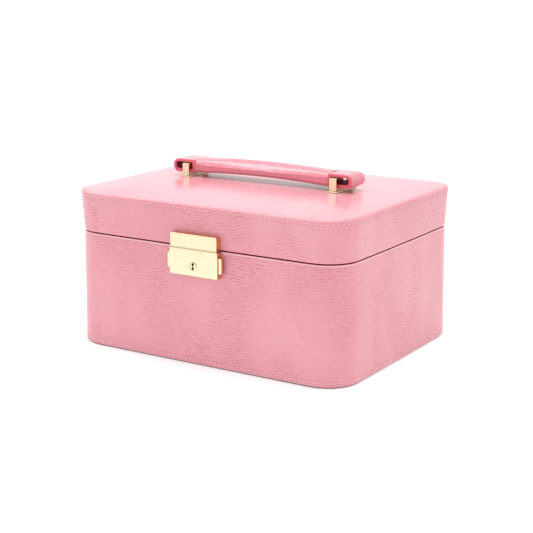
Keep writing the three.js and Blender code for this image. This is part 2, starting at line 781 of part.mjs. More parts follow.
function hingesOnBase() {
  const half = HINGE_WIDTH / 2;
  const inner = MIDDLE_KNUCKLE / 2 + GAP;
  return hingeSides.map(([side, x]) => {
    const leaf = hingeLeaf(-1, BASE_LEAF_BACK, [[-half, -inner], [inner, half]]);
    const pin = bar('x', PIN_RADIUS, -half - 0.6, half + 0.6, [0, 0], 12);
    return atHinge(
      x,
      mesh(`hinge_base_leaf_${side}`, leaf, GOLD),
      mesh(`hinge_pin_${side}`, pin, GOLD),
      ...hingeScrews('base', side, BASE_LEAF_BACK, -1),
    );
  });
}

function hingesOnLid() {
  return hingeSides.map(([side, x]) => {
    const leaf = hingeLeaf(1, LID_LEAF_BACK, [[-MIDDLE_KNUCKLE / 2, MIDDLE_KNUCKLE / 2]]);
    return atHinge(
      x,
      mesh(`hinge_lid_leaf_${side}`, leaf, GOLD),
      ...hingeScrews('lid', side, LID_LEAF_BACK, 1),
    );
  });
}

// ---------------------------------------------------------------- lift-out tray

const TRAY = { top: 98, wall: 2, side: LINING_INSIDE - 1 };
const TRAY_FLOOR = TRAY_FOOT + TRAY.wall;
const TRAY_INNER_WIDTH = HALF_WIDTH + TRAY.side - TRAY.wall;
const TRAY_INNER_DEPTH = HALF_DEPTH + TRAY.side - TRAY.wall;
const TRAY_DIVIDER = 2.4;
const TRAY_SPLIT_X = 12; // between the ring rolls and the open compartments
const TRAY_SPLIT_Y = -18;
const ROLL = { count: 6, from: -108, height: 23, width: 27.6 };
const TAB = { width: 14, reach: 5.4, ribbon: 0.9, foot: 84, top: 103 };

function trayShell() {
  return aroundBox([
    [TRAY.side, TRAY_FOOT],
    [TRAY.side, TRAY.top],
    [TRAY.side - TRAY.wall, TRAY.top],
    [TRAY.side - TRAY.wall, TRAY_FLOOR],
  ]);
}

function trayDividers() {
  const low = TRAY_FLOOR + GAP;
  const half = TRAY_DIVIDER / 2;
  const long = block(
    [TRAY_SPLIT_X - half, -TRAY_INNER_DEPTH + GAP, low],
    [TRAY_SPLIT_X + half, TRAY_INNER_DEPTH - GAP, TRAY.top - 3],
  );
  const cross = block(
    [TRAY_SPLIT_X + half + GAP, TRAY_SPLIT_Y - half, low],
    [TRAY_INNER_WIDTH - GAP, TRAY_SPLIT_Y + half, TRAY.top - 5],
  );
  return [mesh('tray_divider_long', long, SUEDE), mesh('tray_divider_cross', cross, SUEDE)];
}

// Six padded rolls side by side. Rings are held in the grooves between them.
function ringRolls() {
  const half = ROLL.width / 2;
  const shape = new THREE.Shape();
  shape.moveTo(half, 0);
  shape.absellipse(0, ROLL.height - half * 0.8, half, half * 0.8, 0, Math.PI);
  shape.lineTo(-half, 0);
  const length = TRAY_SPLIT_X - TRAY_DIVIDER / 2 - 1 - ROLL.from;
  const pitch = (2 * TRAY_INNER_DEPTH - 2) / ROLL.count;
  return Array.from({ length: ROLL.count }, (_, i) => {
    const geometry = new THREE.ExtrudeGeometry(shape, {
      depth: length,
      bevelEnabled: false,
      curveSegments: 10,
    });
    geometry.rotateX(Math.PI / 2).rotateZ(Math.PI / 2);
    const roll = mesh(`ring_roll_${i + 1}`, geometry, VELVET);
    roll.position.set(ROLL.from, (i - (ROLL.count - 1) / 2) * pitch, TRAY_FLOOR + GAP);
    return roll;
  });
}

// A ribbon bent into a loop against each end wall, to lift the tray by.
function pullTabs() {
  const inner = TAB.reach / 2 - TAB.ribbon;
  const shape = new THREE.Shape();
  shape.moveTo(TAB.reach / 2, TAB.foot);
  shape.absarc(0, TAB.top - TAB.reach / 2, TAB.reach / 2, 0, Math.PI);
  shape.lineTo(-TAB.reach / 2, TAB.foot);
  shape.lineTo(-inner, TAB.foot);
  shape.absarc(0, TAB.top - TAB.reach / 2, inner, Math.PI, 0, true);
  shape.lineTo(inner, TAB.foot);
  shape.closePath();
  const x = TRAY_INNER_WIDTH - GAP - TAB.reach / 2;
  return [['left', -x], ['right', x]].map(([side, place]) => {
    const geometry = extrudeForward(shape, TAB.width / 2, -TAB.width / 2, 0, 6);
    const tab = mesh(`tray_tab_${side}`, geometry, PINK);
    tab.position.x = place;
    return tab;
  });
}

// ---------------------------------------------------------------- assembly

function makeBase() {
  const base = new THREE.Group();
  base.add(
    mesh('bottom_pad', aroundBox([[-0.6, 0], [-0.6, PAD]]), GREY_SUEDE),
    mesh('base_leather', baseLeather(), PINK),
    mesh('base_carcass', baseCarcass(), BOARD_BROWN),
    mesh('base_lining', baseLining(), SUEDE),
    ...baseDividers(),
    ...trayLedges(),
    lockOnBase(),
    ...hingesOnBase(),
  );
  return base;
}

function makeLid() {
  const lid = new THREE.Group();
  lid.add(
    mesh('lid_side_leather', lidSideLeather(), PINK),
    mesh('lid_top_leather', lidTopLeather(), PINK),
    mesh('lid_pad', lidPad(), FOAM),
    mesh('lid_carcass', lidCarcass(), BOARD_BROWN),
    ...lidInside(),
    catchOnLid(),
    ...hingesOnLid(),
    ...handleBrackets(),
    ...strapHandle(),
  );
  return lid;
}

function makeTray() {
  const tray = new THREE.Group();
  tray.add(mesh('tray_shell', trayShell(), SUEDE), ...trayDividers(), ...ringRolls(), ...pullTabs());
  return tray;
}

const jewelleryBox = new THREE.Group();
jewelleryBox.add(makeBase(), makeTray(), makeLid());

export default jewelleryBox;
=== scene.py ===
"""Looks for the leather jewellery box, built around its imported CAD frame.

The leather skins, the strap handle, the stitching and the ring rolls are new meshes that replace plain
CAD solids. The metal and the lined parts are the CAD nodes with softened edges. Lengths are metres.
"""

import json
import math

import bmesh
import bpy
import numpy as np
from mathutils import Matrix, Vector, noise

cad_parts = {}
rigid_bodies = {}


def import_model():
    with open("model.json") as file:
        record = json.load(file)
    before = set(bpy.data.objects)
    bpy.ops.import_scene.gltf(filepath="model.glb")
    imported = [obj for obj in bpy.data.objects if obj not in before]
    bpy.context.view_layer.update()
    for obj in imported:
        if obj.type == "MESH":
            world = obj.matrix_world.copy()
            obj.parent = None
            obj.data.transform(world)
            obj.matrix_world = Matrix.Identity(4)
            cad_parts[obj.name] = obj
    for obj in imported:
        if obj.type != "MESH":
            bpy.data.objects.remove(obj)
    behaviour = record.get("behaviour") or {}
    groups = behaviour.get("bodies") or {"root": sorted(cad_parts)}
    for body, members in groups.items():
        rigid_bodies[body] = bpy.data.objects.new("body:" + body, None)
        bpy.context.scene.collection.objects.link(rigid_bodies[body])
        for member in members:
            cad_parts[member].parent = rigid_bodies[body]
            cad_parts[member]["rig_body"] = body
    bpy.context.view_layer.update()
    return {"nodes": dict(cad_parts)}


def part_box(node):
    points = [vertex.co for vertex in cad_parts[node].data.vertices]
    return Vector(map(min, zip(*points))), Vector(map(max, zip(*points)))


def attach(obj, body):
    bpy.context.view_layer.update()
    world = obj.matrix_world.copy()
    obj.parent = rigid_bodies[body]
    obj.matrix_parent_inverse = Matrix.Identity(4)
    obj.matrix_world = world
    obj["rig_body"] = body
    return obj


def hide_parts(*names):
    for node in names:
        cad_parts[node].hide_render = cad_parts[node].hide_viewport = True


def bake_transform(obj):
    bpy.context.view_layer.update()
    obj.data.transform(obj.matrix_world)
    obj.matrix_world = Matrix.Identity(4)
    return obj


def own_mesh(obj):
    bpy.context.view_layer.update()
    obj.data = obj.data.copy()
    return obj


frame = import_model()

# ------------------------------------------------------------------ sizes, from the frame

MM = 0.001
CORNER = 27 * MM  # radius of the box's upright corners at the seam
BASE_SPREAD = 1.2 * MM  # the base is this much wider at its foot, on each side
LEATHER = 1.2 * MM  # thickness
BASE_ROUNDING = 1.8 * MM  # of the base's rim
LID_ROUNDING = 0.9 * MM  # of the lid's rim
FOOT_ROUNDING = 1.0 * MM  # of the base's foot
EDGE_ROUNDING = 1.7 * MM  # of the lid's top edge
RIM_EASE = 0.12 * MM  # each rim stands back this far from the seam
BASE_SHADED, LID_SHADED = 0.16 * MM, 0.5 * MM  # the painted seam shade on each rim reaches this far up its rounding
BOW = 0.4 * MM  # how far the middle of each wall swells out

foot_low, foot_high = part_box("base_leather")
side_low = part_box("lid_side_leather")[0]
top_low, top_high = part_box("lid_top_leather")
lining_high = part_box("base_lining")[1]

HALF_WIDTH = foot_high.x - BASE_SPREAD
HALF_DEPTH = foot_high.y - BASE_SPREAD
BASE_FOOT = foot_low.z
BASE_RIM = foot_high.z
LID_RIM = side_low.z
SEAM = (BASE_RIM + LID_RIM) / 2
LID_EDGE = top_low.z + EDGE_ROUNDING  # height of the lid's top edge
LID_FLARE = top_high.x - HALF_WIDTH
CROWN = top_high.z - LID_EDGE
RIM_INSIDE = lining_high.x - HALF_WIDTH + 0.5 * MM  # the rims' leather ends here, beside the lining

grip_low, grip_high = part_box("handle_grip_middle")
end_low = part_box("handle_grip_right")[0]
loop_low, loop_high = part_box("handle_loop_right")

# ------------------------------------------------------------------ material helpers


def feed(tree, value, socket):
    """Gives a socket a link from another node, or a fixed number, vector or (red, green, blue)."""
    if isinstance(value, bpy.types.NodeSocket):
        tree.links.new(value, socket)
    elif isinstance(socket, bpy.types.NodeSocketColor):
        socket.default_value = (*value, 1.0)
    else:
        socket.default_value = value


def add(tree, kind, inputs=None, **properties):
    made = tree.nodes.new("ShaderNode" + kind)
    for name, value in properties.items():
        setattr(made, name, value)
    for name, value in (inputs or {}).items():
        feed(tree, value, made.inputs[name])
    return made


def calc(tree, operation, *values):
    made = add(tree, "Math", operation=operation)
    for socket, value in zip(made.inputs, values):
        feed(tree, value, socket)
    return made.outputs[0]


def smooth(tree, value, low, high, to_low=0.0, to_high=1.0):
    """value, eased from to_low at low to to_high at high."""
    limits = {"From Min": low, "From Max": high, "To Min": to_low, "To Max": to_high}
    ranged = add(tree, "MapRange", {"Value": value, **limits}, interpolation_type="SMOOTHSTEP")
    return ranged.outputs["Result"]


def mixed(tree, factor, first, second):
    """A colour that goes from first, where factor is 0, to second, where it is 1."""
    made = add(tree, "Mix", data_type="RGBA")
    for index, value in ((0, factor), (6, first), (7, second)):
        feed(tree, value, made.inputs[index])
    return made.outputs[2]


def noise_value(tree, vector, scale, detail=2.0, roughness=0.5):
    inputs = {"Vector": vector, "Scale": scale, "Detail": detail, "Roughness": roughness}
    return add(tree, "TexNoise", inputs).outputs["Fac"]


def stretched(tree, vector, scale):
    return add(tree, "Mapping", {"Vector": vector, "Scale": scale}, vector_type="POINT").outputs[0]


def new_material(name, uv_map=None):
    """A material, its tree, and the place in the object or on the UV map, in millimetres."""
    material = bpy.data.materials.new(name)
    material.use_nodes = True
    tree = material.node_tree
    if uv_map:
        place = add(tree, "UVMap", uv_map=uv_map).outputs["UV"]
    else:
        place = add(tree, "TexCoord").outputs["Object"]
    scaled = add(tree, "VectorMath", {"Scale": 1 / MM}, operation="SCALE")
    feed(tree, place, scaled.inputs[0])
    return material, tree, scaled.outputs[0]


def finish(tree, inputs, height=None, strength=0.0, depth=0.0):
    """Feeds the material's shader, and makes height a bump of up to depth millimetres."""
    shader = tree.nodes["Principled BSDF"]
    for name, value in inputs.items():
        feed(tree, value, shader.inputs[name])
    if height is not None:
        bump = add(tree, "Bump", {"Strength": strength, "Distance": depth * MM, "Height": height})
        feed(tree, bump.outputs["Normal"], shader.inputs["Normal"])


def scaled_colour(shade, factor):
    return tuple(min(1.0, part * factor) for part in shade)


# ------------------------------------------------------------------ materials

LEATHER_DEEP = (0.68, 0.258, 0.308)
LEATHER_LIGHT = (0.73, 0.315, 0.362)
LEATHER_PALE = (0.80, 0.430, 0.465)  # some single scales
LEATHER_GROOVE = (0.49, 0.110, 0.155)
STRAP_DEEP = (0.71, 0.155, 0.215)
STRAP_LIGHT = (0.77, 0.22, 0.28)


def lizard_leather(
    name,
    row=2.1,
    wave=1.0,
    roughness=0.34,
    streaks=0.0,
    relief=0.1,
    coat=0.2,
    coat_ior=1.5,
    contrast=1.0,
    deep=LEATHER_DEEP,
    light=LEATHER_LIGHT,
):
    """Lizard print: scales in wavy rows, on a map in metres whose second direction crosses the rows.

    row is their pitch and relief the print's depth, in millimetres. wave, streaks and contrast scale
    the rows' sway, the creases along the map's second direction, and the print's strength.
    """
    material, tree, place = new_material(name, "print")
    apart = add(tree, "SeparateXYZ", {"Vector": place})
    along, across = apart.outputs["X"], apart.outputs["Y"]

    def sway(scale, amount, detail=0.0):
        centred = calc(tree, "SUBTRACT", noise_value(tree, place, scale, detail), 0.5)
        return calc(tree, "MULTIPLY", centred, amount * wave)

    # rows that rise and dip, and run closer together in places
    drift = calc(tree, "ADD", sway(0.018, 13.0, 1.0), sway(0.075, 3.0))
    rows = calc(tree, "DIVIDE", calc(tree, "ADD", across, drift), row)
    odd = calc(tree, "MULTIPLY", calc(tree, "FLOORED_MODULO", calc(tree, "FLOOR", rows), 2.0), 0.5)
    columns = calc(tree, "DIVIDE", calc(tree, "ADD", along, sway(0.06, 7.0, 1.0)), row * 0.88)
    staggered = calc(tree, "ADD", columns, odd)
    cells = add(tree, "CombineXYZ", {"X": staggered, "Y": rows, "Z": 0.0}).outputs[0]

    voronoi = {"Vector": cells, "Scale": 1.0, "Randomness": 0.3}
    edges = add(tree, "TexVoronoi", voronoi, feature="DISTANCE_TO_EDGE", voronoi_dimensions="2D")
    edge = edges.outputs["Distance"]
    cell = add(tree, "TexVoronoi", voronoi, feature="F1", voronoi_dimensions="2D")
    tint = add(tree, "SeparateColor", {"Color": cell.outputs["Color"]}).outputs["Red"]
    pits = smooth(tree, cell.outputs["Distance"], 0.78, 0.34)  # small hollows where the scales meet
    scale_height = calc(tree, "MULTIPLY", pits, smooth(tree, edge, 0.0, 0.2, 0.65, 1.0))

    # in the plainer patches the scales run together into short, low ridges
    middle = calc(tree, "ABSOLUTE", calc(tree, "SUBTRACT", calc(tree, "FRACT", rows), 0.5))
    valley = calc(tree, "SUBTRACT", 1.0, smooth(tree, middle, 0.5, 0.15))
    breaks = noise_value(tree, stretched(tree, place, (0.16, 0.5, 1.0)), 1.0, 2.0)
    open_valley = calc(tree, "MULTIPLY", valley, smooth(tree, breaks, 0.38, 0.6, 0.1, 0.85))
    ridges = calc(tree, "SUBTRACT", 1.0, open_valley)

    # the scales show in patches, and the print is stronger in some parts of the hide
    tall = stretched(tree, place, (1.0, 0.45, 1.0))
    patches = smooth(tree, noise_value(tree, tall, 0.032, 1.5), 0.42, 0.58, 0.15, 1.0)
    scales_only = calc(tree, "MULTIPLY", calc(tree, "SUBTRACT", scale_height, ridges), patches)
    height = calc(tree, "ADD", ridges, scales_only)
    hide = noise_value(tree, tall, 0.026, 1.0)
    strength = smooth(tree, hide, 0.34, 0.62, 0.4 * contrast, 1.3 * contrast)
    cut = calc(tree, "MULTIPLY", calc(tree, "SUBTRACT", 1.0, height), strength)
    grain = noise_value(tree, place, 2.2, 3.0, 0.6)
    surface = calc(tree, "SUBTRACT", calc(tree, "MULTIPLY", grain, 0.25), cut)
    if streaks:
        drawn = noise_value(tree, stretched(tree, place, (0.55, 0.06, 1.0)), 1.0, 3.0, 0.65)
        creases = smooth(tree, drawn, 0.35, 0.65)
        surface = calc(tree, "ADD", surface, calc(tree, "MULTIPLY", creases, streaks))

    bands = smooth(tree, noise_value(tree, tall, 0.016, 2.0), 0.3, 0.7)
    tops = mixed(tree, bands, deep, light)
    tops = mixed(tree, calc(tree, "MULTIPLY", tint, 0.18), tops, LEATHER_PALE)
    base = mixed(tree, calc(tree, "MULTIPLY", cut, 0.75), tops, LEATHER_GROOVE)
    cloud = calc(tree, "SUBTRACT", noise_value(tree, place, 0.3, 2.0), 0.5)
    uneven = calc(tree, "ADD", roughness, calc(tree, "MULTIPLY", cloud, 0.1))
    rough = calc(tree, "ADD", uneven, calc(tree, "MULTIPLY", cut, 0.12))
    coating = {"Coat Weight": coat, "Coat Roughness": 0.2, "Coat IOR": coat_ior}
    finish(tree, {"Base Color": base, "Roughness": rough, **coating}, surface, 0.7, relief)
    return material


def plain_leather(name, shade, roughness=0.5, shine=0.5):
    """Leather without the print, for turned edges."""
    material, tree, place = new_material(name)
    pores = noise_value(tree, place, 2.4, 4.0, 0.6)
    base = mixed(tree, noise_value(tree, place, 0.2, 2.0), shade, scaled_colour(shade, 1.12))
    inputs = {"Base Color": base, "Roughness": roughness, "Specular IOR Level": shine}
    finish(tree, inputs, pores, 0.5, 0.1)
    return material


def pile(name, shade, deep, sheen, fibre=5.0, nap=0.12, brushed=0.35):
    """Suede or velvet: fine fibres under broad, brushed patches."""
    material, tree, place = new_material(name)
    fibres = noise_value(tree, place, fibre, 3.0, 0.7)
    patches = noise_value(tree, place, nap, 3.0, 0.55)
    fine = calc(tree, "MULTIPLY", fibres, 1.1 - brushed)
    blend = calc(tree, "ADD", fine, calc(tree, "MULTIPLY", patches, brushed))
    inputs = {
        "Base Color": mixed(tree, smooth(tree, blend, 0.3, 0.85), deep, shade),
        "Roughness": 0.92,
        "Sheen Weight": sheen,
        "Sheen Roughness": 0.45,
        "Sheen Tint": scaled_colour(shade, 1.3),
    }
    finish(tree, inputs, fibres, 0.6, 0.12)
    return material


def metal(name, shade, roughness, scratches=0.12, brushed=False):
    """Plated metal with faint hairlines and slightly uneven polish."""
    material, tree, place = new_material(name)
    lines = stretched(tree, place, (0.15, 6.0, 6.0) if brushed else (1.2, 1.2, 3.5))
    hair = noise_value(tree, lines, 1.0, 3.0, 0.6)
    uneven = calc(tree, "MULTIPLY", calc(tree, "SUBTRACT", hair, 0.5), scratches)
    cloud = noise_value(tree, place, 0.25, 2.0)
    inputs = {
        "Base Color": mixed(tree, cloud, scaled_colour(shade, 0.9), shade),
        "Roughness": calc(tree, "ADD", roughness, uneven),
        "Metallic": 1.0,
    }
    finish(tree, inputs, hair, 0.25, 0.01)
    return material


def fibreboard(name):
    material, tree, place = new_material(name)
    flecks = noise_value(tree, place, 1.1, 5.0, 0.7)
    base = mixed(tree, smooth(tree, flecks, 0.3, 0.7), (0.30, 0.21, 0.13), (0.52, 0.40, 0.27))
    finish(tree, {"Base Color": base, "Roughness": 0.88}, flecks, 0.4, 0.1)
    return material


def open_foam(name):
    material, tree, place = new_material(name)
    cells = add(tree, "TexVoronoi", {"Vector": place, "Scale": 1.4}, feature="F1").outputs["Distance"]
    base = mixed(tree, smooth(tree, cells, 0.1, 0.6), (0.55, 0.49, 0.36), (0.86, 0.81, 0.66))
    finish(tree, {"Base Color": base, "Roughness": 0.95}, cells, 0.6, 0.3)
    return material


def thread(name):
    """Waxed sewing thread, with its twist."""
    material, tree, place = new_material(name)
    inputs = {"Vector": place, "Scale": 1.1, "Distortion": 1.5}
    twist = add(tree, "TexWave", inputs, bands_direction="DIAGONAL").outputs["Fac"]
    base = mixed(tree, twist, (0.84, 0.45, 0.50), (0.91, 0.58, 0.62))
    finish(tree, {"Base Color": base, "Roughness": 0.55}, twist, 0.5, 0.06)
    return material


def silvered_glass(name):
    material, tree, place = new_material(name)
    haze = noise_value(tree, place, 0.05, 3.0)
    base = mixed(tree, haze, (0.84, 0.86, 0.87), (0.90, 0.92, 0.92))
    rough = smooth(tree, haze, 0.3, 0.8, 0.015, 0.05)
    finish(tree, {"Base Color": base, "Roughness": rough, "Metallic": 1.0})
    return material


def studio_paper(name):
    """Pale paper, lit a little from within so that it stays as light as the world around it."""
    material, tree, place = new_material(name)
    base = mixed(tree, noise_value(tree, place, 0.6, 4.0), (0.66, 0.66, 0.66), (0.70, 0.70, 0.70))
    glow = {"Emission Color": (1.0, 1.0, 1.0), "Emission Strength": 0.4}
    finish(tree, {"Base Color": base, "Roughness": 0.7, **glow})
    return material


LEATHER_LOOK = lizard_leather("lizard_leather")
TOP_LOOK = lizard_leather("lizard_leather_top", roughness=0.28, coat=0.5, contrast=0.15, relief=0.012)
STRAP_LOOK = lizard_leather(
    "lizard_leather_strap",
    row=1.9,
    wave=0.35,
    roughness=0.22,
    streaks=1.1,
    relief=0.4,
    coat=1.0,
    coat_ior=1.6,
    deep=STRAP_DEEP,
    light=STRAP_LIGHT,
)
# painted shade: dark leather inside the loops' slots
SLOT_SHADE_LEATHER = plain_leather("slot_shade", (0.34, 0.022, 0.055), roughness=0.6)
PAINTED_EDGE = plain_leather("painted_edge", (0.69, 0.135, 0.195), roughness=0.45, shine=0.4)
# painted shade: the rims are dark where they face the seam, so that the gap between lid and base reads dark
SEAM_SHADE_LEATHER = plain_leather("seam_shade_rim", (0.38, 0.03, 0.075), roughness=0.7, shine=0.1)
# painted highlight: a pale band where the base's rim rounding faces up under the seam
RIM_HIGHLIGHT_LEATHER = plain_leather("rim_highlight", (0.90, 0.56, 0.60), roughness=0.3)
# painted shade: near-black ends of the grip, for the joint between grip and loop
JOINT_SHADE_LEATHER = plain_leather("joint_shade", (0.10, 0.03, 0.035), roughness=0.7)
# painted shade: dark brown inside the keyway's holes
KEYWAY_SHADE_BRASS = plain_leather("keyway_shade", (0.12, 0.06, 0.01), roughness=0.7, shine=0.15)
TAB_RIBBON = plain_leather("pink_ribbon", (0.78, 0.27, 0.34), roughness=0.55)
GOLD = metal("pale_gold", (0.84, 0.70, 0.46), roughness=0.16)
BRUSHED_GOLD = metal(
    "brushed_pale_gold", (0.82, 0.715, 0.495), roughness=0.2, scratches=0.1, brushed=True
)
SATIN_GOLD = metal("satin_pale_gold", (0.92, 0.83, 0.54), roughness=0.36)
# polished gold, deepened to orange as a painted reflection of the pink leather around it
EDGE_GOLD_REFLECTION = metal("polished_edge_pink_reflection", (0.80, 0.48, 0.20), roughness=0.2)
STEEL = metal("zinc_steel", (0.60, 0.61, 0.62), roughness=0.35, brushed=True)
SUEDE = pile("pink_suede", (0.80, 0.50, 0.52), (0.62, 0.32, 0.35), sheen=0.4)
VELVET = pile(
    "pink_velvet", (0.72, 0.38, 0.42), (0.52, 0.20, 0.25), sheen=1.0, fibre=7.0, nap=0.06, brushed=0.6
)
# dark suede pad, tinted mauve as painted pink light bounced onto it from the leather
PAD_SUEDE_BOUNCE = pile("grey_suede", (0.27, 0.21, 0.225), (0.18, 0.135, 0.145), sheen=0.3)
# a strip under the grip, whose taupe is also painted shade for the band under the strap
TAUPE_LINING_SHADE = pile("taupe_strap_lining_shade", (0.56, 0.29, 0.29), (0.42, 0.21, 0.21), sheen=0.1)
BOARD = fibreboard("fibreboard")
FOAM = open_foam("open_foam")
THREAD = thread("pink_thread")
MIRROR = silvered_glass("silvered_glass")

# ------------------------------------------------------------------ mesh helpers


def link(name, mesh, material, smooth_faces=True):
    made = bpy.data.objects.new(name, mesh)
    bpy.context.scene.collection.objects.link(made)
    mesh.materials.append(material)
    if smooth_faces:
        mesh.shade_smooth()
    return made


def blended(first, last, share):
    return first + (last - first) * share


def recolour(piece, material, chosen):
    """Gives a further material to the faces for which chosen(face) holds."""
    piece.data.materials.append(material)
    index = len(piece.data.materials) - 1
    for face in piece.data.polygons:
        if chosen(face):
            face.material_index = index


def grid_mesh(name, rings, along, across, closed):
    """A mesh of closed rings of points, which has a face on each end unless the sweep closes too.

    along[j] and across[i] are the print's coordinates of point j in ring i.
    """
    rings = np.asarray(rings, float)
    sweep, count = rings.shape[:2]
    faces = []
    maps = []
    for i in range(sweep if closed else sweep - 1):
        for j in range(count):
            i2, j2 = (i + 1) % sweep, (j + 1) % count
            faces.append((i * count + j, i * count + j2, i2 * count + j2, i2 * count + j))
            maps += [(along[j], across[i]), (along[j + 1], across[i])]
            maps += [(along[j + 1], across[i + 1]), (along[j], across[i + 1])]
    if not closed:
        first = tuple(reversed(range(count)))
        last = tuple(range((sweep - 1) * count, sweep * count))
        for ring, level in ((first, across[0]), (last, across[-1])):
            faces.append(ring)
            maps += [(along[j % count], level) for j in ring]
    mesh = bpy.data.meshes.new(name)
    mesh.from_pydata(rings.reshape(-1, 3).tolist(), [], faces)
    layer = mesh.uv_layers.new(name="print")
    layer.data.foreach_set("uv", np.asarray(maps, float).ravel())
    mesh.validate()
    return mesh


def lengths(points, closed=False):
    """Distance along a line of points to each point; a closed line has one more value, its whole length."""
    points = np.asarray(points, float)
    if closed:
        points = np.vstack([points, points[:1]])
    steps = np.linalg.norm(np.diff(points, axis=0), axis=1)
    return np.concatenate([[0.0], np.cumsum(steps)])


def outline(outward=0.0, corner_steps=14, side_steps=(26, 20)):
    """Points and outward normals of the box's outline, anticlockwise from the middle of its back."""
    radius = CORNER + outward
    centre_x, centre_y = HALF_WIDTH - CORNER, HALF_DEPTH - CORNER
    points, normals = [], []

    def straight(start, end, normal, steps, half, skip_start):
        for step in range(1 if skip_start else 0, steps):
            share = step / steps
            point = np.array(start) * (1 - share) + np.array(end) * share
            across = abs(point @ np.array([normal[1], normal[0]])) / half
            points.append(point + np.array(normal) * BOW * (1 - min(1.0, across) ** 2))
            normals.append(normal)

    def turn(centre, from_degrees):
        for step in range(corner_steps + 1):
            angle = math.radians(from_degrees + 90 * step / corner_steps)
            normal = (math.cos(angle), math.sin(angle))
            points.append(np.array(centre) + radius * np.array(normal))
            normals.append(normal)

    front, side = side_steps
    half_x, half_y = HALF_WIDTH + outward, HALF_DEPTH + outward
    straight((0, half_y), (-centre_x, half_y), (0, 1), front // 2, centre_x, False)
    turn((-centre_x, centre_y), 90)
    straight((-half_x, centre_y), (-half_x, -centre_y), (-1, 0), side, centre_y, True)
    turn((-centre_x, -centre_y), 180)
    straight((-centre_x, -half_y), (centre_x, -half_y), (0, -1), front, centre_x, True)
    turn((centre_x, -centre_y), 270)
    straight((half_x, -centre_y), (half_x, centre_y), (1, 0), side, centre_y, True)
    turn((centre_x, centre_y), 0)
    straight((centre_x, half_y), (0, half_y), (0, 1), front // 2, centre_x, True)
    return np.array(points), np.array(normals)


def around_box(name, section, material):
    """Sweeps a closed section of (outward, height) points round the box."""
    rings = []
    for outward, height in section:
        points, _ = outline(outward)
        rings.append(np.column_stack([points, np.full(len(points), height)]))
    along = lengths(outline()[0], closed=True)
    across = lengths(section, closed=True)
    return link(name, grid_mesh(name, rings, along, across, closed=True), material)


def arc(centre, radius, start, end, steps):
    angles = np.radians(np.linspace(start, end, steps + 1))
    return [(centre[0] + radius * math.cos(a), centre[1] + radius * math.sin(a)) for a in angles]


def between(first, last, steps):
    """Points from first to last, without the last."""
    return [tuple(np.array(first) * (1 - k / steps) + np.array(last) * (k / steps)) for k in range(steps)]


def shade_by_area(mesh, crease=50):
    """Smooth shading in which large flat faces stay flat and narrow rounded edges carry the turn."""
    mesh.shade_smooth()
    limit = math.cos(math.radians(crease))
    around = [[] for _ in mesh.vertices]
    normals = [Vector(face.normal) for face in mesh.polygons]
    for face in mesh.polygons:
        for corner in face.vertices:
            around[corner].append(face.index)
    turned = []
    for face in mesh.polygons:
        own = normals[face.index]
        for corner in face.vertices:
            total = Vector()
            for other in around[corner]:
                if normals[other].dot(own) > limit:
                    total += normals[other] * mesh.polygons[other].area
            turned.append(total.normalized() if total.length > 0 else own)
    mesh.normals_split_custom_set(turned)


FLAT_ANGLE = math.radians(2)  # faces that meet at less than this are one face
SHARP_ANGLE = math.radians(40)  # edges sharper than this are rounded


def softened(node, material, bevel, segments=3):
    """A copy of a CAD node with rounded edges, which replaces it on the same body."""
    source = frame["nodes"][node]
    mesh = source.data.copy()
    shape = bmesh.new()
    shape.from_mesh(mesh)
    bmesh.ops.remove_doubles(shape, verts=shape.verts, dist=1e-6)
    bmesh.ops.dissolve_limit(shape, angle_limit=FLAT_ANGLE, verts=shape.verts, edges=shape.edges)
    sharp = [e for e in shape.edges if len(e.link_faces) == 2 and e.calc_face_angle() > SHARP_ANGLE]
    bmesh.ops.bevel(
        shape,
        geom=sharp,
        offset=bevel,
        offset_type="OFFSET",
        segments=segments,
        profile=0.5,
        affect="EDGES",
        clamp_overlap=True,
    )
    bmesh.ops.triangulate(shape, faces=[f for f in shape.faces if len(f.verts) > 4])
    shape.to_mesh(mesh)
    shape.free()
    mesh.materials.clear()
    piece = link(f"{node}_soft", mesh, material)
    shade_by_area(mesh)
    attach(piece, source["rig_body"])
    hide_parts(node)
    return piece


def paint(node, material):
    """Gives a CAD node that stays a better material."""
    mesh = frame["nodes"][node].data
    mesh.materials.clear()
    mesh.materials.append(material)


# ------------------------------------------------------------------ stitching

STITCH = 2.6 * MM  # length of one stitch
STITCH_PITCH = 4.1 * MM
STITCH_SLANT = 0.25 * MM  # how much higher each stitch ends than it starts
STITCH_INSET = 0.35 * MM  # the row's line lies this far inside the wall's face
STITCH_BOW = 0.55 * MM  # how far the middle of a stitch stands out from its ends
STITCH_SUNK = 0.55  # share of that bow that lies inside the row's line
THREAD_RADIUS = 0.5 * MM
THREAD_END = 0.35  # the radius at a stitch's ends, as a share of the thread's


